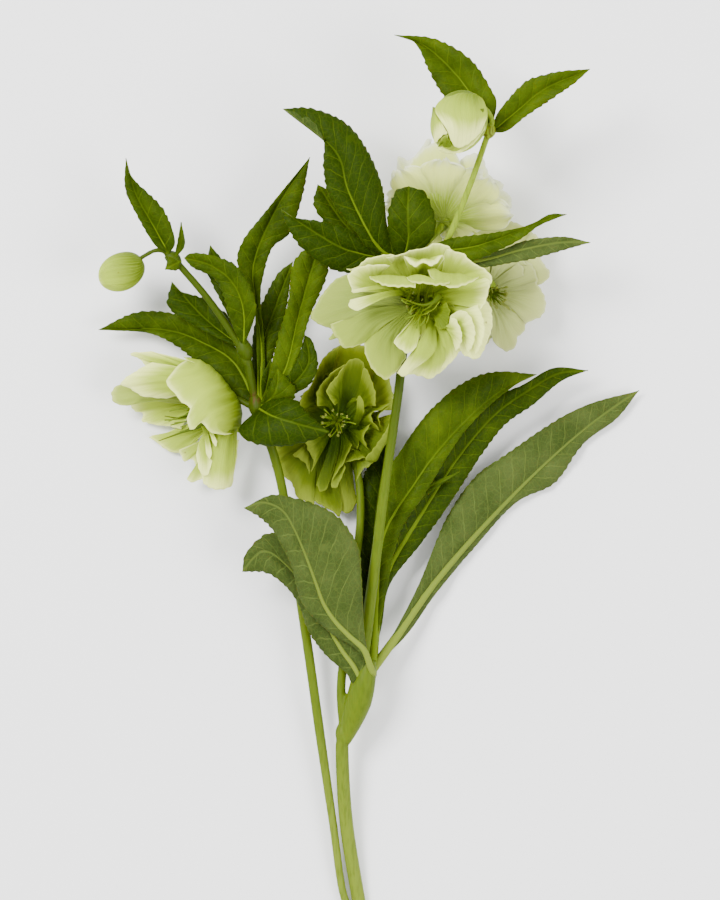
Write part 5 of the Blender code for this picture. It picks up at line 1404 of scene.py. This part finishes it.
def petal_material(name, base, middle, rim, vein, dull):
    """A soft thin petal: green at its claw, pale beyond, veined, with a few brown specks."""
    m = Nodes(name)
    side, along, seed, _ = m.attribute("place")
    tone = m.attribute("kind")[0]
    spread_out = m.vector(m.times(side, CLOUD_STRETCH[0]), m.times(along, CLOUD_STRETCH[1]), seed)
    cloud = m.noise(spread_out, CLOUD_SCALE, 4.0)
    lines = petal_veins(m, side, along, cloud)
    # A petal's tone, partly painted light and shade, moves it towards the claw's green or the rim's pale.
    reach = m.math("MULTIPLY_ADD", tone, TONE_REACH, m.plus(along, m.swing(cloud, 0.25)))
    colour = m.mix(m.fade(reach, *MIDDLE_REACH), base, middle)
    colour = m.mix(m.fade(reach, *RIM_REACH), colour, rim)
    # Painted shade: a dull grey-green on shaded petals of middling dark tone.
    dull_shade = m.times(m.fade(tone, *DULL_FROM), m.fade(tone, *DULL_UNTIL, DULL_STRENGTH, 0.0))
    colour = m.mix(dull_shade, colour, dull)
    # The pale lip: a pale margin with a painted highlight.
    colour = m.mix(pale_lip_and_highlight(m, side, along, tone, dull_shade), colour, rim)
    colour = m.mix(m.times(lines, PETAL_VEIN_STRENGTH), colour, vein)
    speck = m.dots(m.position()[3], SPECK_SCALE)
    colour = m.mix(m.times(speck, SPECK_STRENGTH), colour, SPECK_BROWN)
    m.shade(Base_Color=colour, Roughness=0.60, Specular_IOR_Level=SOFT_SHINE, Subsurface_Weight=0.25,
            Subsurface_Scale=0.0022, Subsurface_Radius=(1.0, 1.0, 0.6))
    crumple = m.noise(spread_out, CRUMPLE_SCALE, 3.0)
    m.bump(m.math("MULTIPLY_ADD", lines, -0.55, m.times(crumple, 0.5)), PETAL_RELIEF, 0.7)
    return m.material


def stem_material():
    """Smooth living stem: pale at its foot, greener above, with faint streaks and brown marks."""
    m = Nodes("stem")
    x, y, z, place = m.position()
    squeezed = m.vector(m.times(x, STREAK_SQUEEZE), y, m.times(z, STREAK_SQUEEZE))
    streak = m.noise(squeezed, STREAK_SCALE, 3.0)
    colour = m.mix(m.fade(y, *LOW_BAND), STEM_LOW, STEM_MIDDLE)
    colour = m.mix(m.fade(y, *HIGH_BAND), colour, STEM_HIGH)
    stalk = m.times(m.fade(y, *STALK_ABOVE), m.fade(x, *STALK_RIGHT))
    colour = m.mix(stalk, colour, STEM_PALE)
    colour = m.mix(m.fade(streak, 0.40, 0.75, 0.0, 0.45), colour, STEM_STREAK)
    for middle in STEM_MARKS:
        mark = m.line(m.distance(place, middle), *MARK_EDGE)
        mark = m.times(mark, m.fade(streak, 0.40, 0.62, 0.0, 0.8))
        colour = m.mix(mark, colour, MARK_BROWN)
    m.shade(Base_Color=colour, Roughness=0.52, Specular_IOR_Level=SOFT_SHINE, Subsurface_Weight=0.12,
            Subsurface_Scale=0.0015)
    grain = m.noise(place, STEM_GRAIN_SCALE, 2.0)
    m.bump(m.math("MULTIPLY_ADD", streak, 0.8, m.times(grain, 0.3)), STEM_RELIEF, 0.6)
    return m.material


def stamen_material():
    """Green stalks, creamy heads and green seed cases with paler tips."""
    m = Nodes("stamen")
    along = m.attribute("place")[1]
    part = m.attribute("kind")[0]
    stalk = m.mix(along, STAMEN_ROOT, STAMEN_STALK)
    case = m.mix(m.fade(along, 0.35, 1.0), CASE_GREEN, CASE_TIP)
    colour = m.mix(m.fade(part, 0.4, 0.6), stalk, STAMEN_HEAD)
    colour = m.mix(m.fade(part, 1.4, 1.6), colour, case)
    grain = m.noise(m.position()[3], STAMEN_GRAIN_SCALE, 2.0)
    colour = m.mix(m.fade(grain, 0.45, 0.8, 0.0, 0.25), colour, STAMEN_ROOT)
    m.shade(Base_Color=colour, Roughness=0.55, Specular_IOR_Level=SOFT_SHINE, Subsurface_Weight=0.15,
            Subsurface_Scale=0.0008)
    m.bump(grain, STAMEN_RELIEF, 0.6)
    return m.material


def floor_material():
    """A plain pale surface."""
    m = Nodes("pale_surface")
    m.shade(Base_Color=grey(FLOOR_LIGHTNESS), Roughness=0.9)
    return m.material


def add_floor():
    """The surface that the stem lies on."""
    bpy.ops.mesh.primitive_plane_add(size=FLOOR_WIDTH, location=(0.0, 0.0, 0.0))
    floor = bpy.context.object
    floor.name = "surface"
    floor.data.materials.append(floor_material())


def add_light(name, place, size, power):
    """A soft square light that looks at the plant."""
    data = bpy.data.lights.new(name, "AREA")
    data.shape = "SQUARE"
    data.size = size
    data.energy = power
    light = bpy.data.objects.new(name, data)
    light.location = place
    light.rotation_mode = "QUATERNION"
    light.rotation_quaternion = Vector(-np.array(place)).to_track_quat("-Z", "Y")
    bpy.context.scene.collection.objects.link(light)


def add_sky():
    """Even white light from all round."""
    world = bpy.data.worlds.new("sky")
    bpy.context.scene.world = world
    world.use_nodes = True
    sky = world.node_tree.nodes["Background"]
    sky.inputs["Color"].default_value = grey(1.0)
    sky.inputs["Strength"].default_value = SKY_STRENGTH


def add_camera():
    """The camera straight above, its frame as in the photograph."""
    data = bpy.data.cameras.new("camera")
    data.sensor_width = SENSOR_WIDTH
    data.lens = SENSOR_WIDTH * CAMERA_HEIGHT / (FRAME_HEIGHT * MM)
    data.clip_end = CLIP_END
    camera = bpy.data.objects.new("camera", data)
    x, y = (np.array(FRAME_MIDDLE) - ORIGIN[:2]) * MM
    camera.location = (x, y, CAMERA_HEIGHT + FRAME_LEVEL * MM)
    bpy.context.scene.collection.objects.link(camera)
    bpy.context.scene.camera = camera


def settle(piece, node):
    """Hang a piece on the root, and hide the part of the model that it stands for."""
    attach(piece, "root")
    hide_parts(node)


def build_stem(finish, name, routes, knots):
    """Joined stems as one skin, with rounded joints where they branch."""
    pile = Pile()
    for route, radii, rings in routes:
        add_tube(pile, route, radii, rings * STEM_FINENESS, STEM_SIDES)
    for place, size in knots:
        middle = np.array(place)
        shift = np.array((0.0, size * KNOT_REACH, 0.0))
        add_tube(pile, (middle - shift, middle, middle + shift), size * np.array(KNOT_TAPER), 15, STEM_SIDES)
    skin = pile.finish(name, finish)
    remesh = skin.modifiers.new("join", "REMESH")
    remesh.mode = "VOXEL"
    remesh.voxel_size = STEM_VOXEL * MM
    remesh.use_smooth_shade = True
    soften = skin.modifiers.new("soften", "SMOOTH")
    soften.factor = 0.5
    soften.iterations = 5
    graph = bpy.context.evaluated_depsgraph_get()
    skin_mesh = bpy.data.meshes.new_from_object(skin.evaluated_get(graph))
    skin.modifiers.clear()
    skin.data = skin_mesh
    skin_mesh.materials.clear()
    skin_mesh.materials.append(finish)
    settle(skin, "stem")


def build_bracts(finish, stalk):
    """Every leaf, joined by bract, with the sleeve at its foot."""
    for number, (name, leaves) in enumerate(BRACTS.items()):
        route, radii, rings = FEET[name]
        swell = 0.60 + 0.40 * np.sin(np.linspace(0.0, math.pi, SWELL_POINTS)) ** 0.7
        sleeve = Pile()
        add_tube(sleeve, route, spread(radii, SWELL_POINTS) * swell, rings * SLEEVE_FINENESS, SLEEVE_SIDES)
        settle(sleeve.finish(f"bract_{name}_sleeve", stalk), "bract_" + name)
        pile = Pile()
        for order, (spec, look) in enumerate(zip(leaves, LEAF_LOOKS[name])):
            leaf_sheet(pile, spec, look, RANDOM_SEED + LEAF_SEEDS * number + order)
        settle(pile.finish(f"bract_{name}_leaves", finish), "bract_" + name)


def build_petals(finish, number, name, frame3):
    """The petals of one bloom: short plain ones behind, the measured ones, and the core."""
    receptacle, _, behind = BLOOMS[name]
    kind, ruffle, shorten, kept = BLOOM_LOOKS[name]
    middle = np.array(receptacle)
    pile = Pile()
    for order, (azimuth, length, width, opening, curl, wave) in enumerate(behind):
        if kept[0] <= azimuth <= kept[1]:
            short = (azimuth, length * shorten, width * shorten, opening + BACK_OPENING,
                     curl + BACK_CURL, wave)
            petal_sheet(pile, frame3, middle - frame3[:, 2] * BACK_DROP, short, ruffle,
                        RANDOM_SEED + order)
    for order, spec in enumerate(PETALS[name]):
        loft_petal(pile, spec, ruffle, RANDOM_SEED + PETAL_SEEDS * number + order)
    add_tube(pile, np.array(CORE_ROUTE) @ frame3.T + middle, CORE_RADII, 16, 28, CORE_KIND)
    settle(pile.finish(f"bloom_{name}_whorls", finish), f"bloom_{name}_petals")


def build_heart(finish, number, name):
    """The stamens and seed cases of one bloom, and the fine threads that were drawn one by one."""
    pile = Pile()
    facing, reach, count = HEARTS[name]
    frame3 = bloom_frame(facing)
    middle = np.array(BLOOMS[name][0])
    stamen_cluster(pile, frame3, middle, count, reach, RANDOM_SEED + number)
    seed_cases(pile, frame3, middle, reach + CASE_RISE)
    for bend in THREADS.get(name, ()):
        add_tube(pile, in_mm(bend), THREAD_RADII, 20, 6)
    for bend in STYLES.get(name, ()):
        add_tube(pile, in_mm(bend), STYLE_RADII, 24, 8, CASE_KIND)
    settle(pile.finish(f"bloom_{name}_heart", finish), f"bloom_{name}_centre")


def on_bud(place, lift):
    """A place on the top bud in grid steps, with its height, which is lift over the bud."""
    x, y = place[0] - BUD_MIDDLE[0], place[1] - BUD_MIDDLE[1]
    along = (x * BUD_AXIS[0] + y * BUD_AXIS[1]) / BUD_REACH[0]
    across = (x * BUD_AXIS[1] - y * BUD_AXIS[0]) / BUD_REACH[1]
    height = BUD_HEIGHT + BUD_LIFT * math.sqrt(max(1 - along ** 2 - across ** 2, 0.02))
    return (*place, height + lift)


def build_buds(finish):
    """The two closed buds, the top one with the sepals that show in the photograph."""
    for name, spec in BUDS.items():
        pile = Pile()
        bud_skin(pile, spec)
        for order, (tone, lift, root, rails) in enumerate(BUD_SEPALS.get(name, ())):
            raised = [[on_bud(place, lift) for place in rail] for rail in rails]
            loft_petal(pile, (tone, on_bud(root, lift), *raised), BUD_RUFFLE, RANDOM_SEED + order)
        settle(pile.finish(f"bud_{name}_sepals", finish), "bud_" + name)


def build():
    """Dress the plant and light it."""
    petals = {kind: petal_material("petal_" + kind, *colours)
              for kind, colours in PETAL_COLOURS.items()}
    stalk = stem_material()
    build_stem(stalk, "main_stem_skin", MAIN_STEM, MAIN_KNOTS)
    build_stem(stalk, "second_stem_skin", SECOND_STEM, SECOND_KNOTS)
    build_bracts(leaf_material(), stalk)
    stamens = stamen_material()
    for number, (name, (_, facing, _)) in enumerate(BLOOMS.items()):
        build_petals(petals[BLOOM_LOOKS[name][0]], number, name, bloom_frame(facing))
        build_heart(stamens, number, name)
    build_buds(petals["cream"])
    add_floor()
    for light in LIGHTS:
        add_light(*light)
    add_sky()
    add_camera()


build()
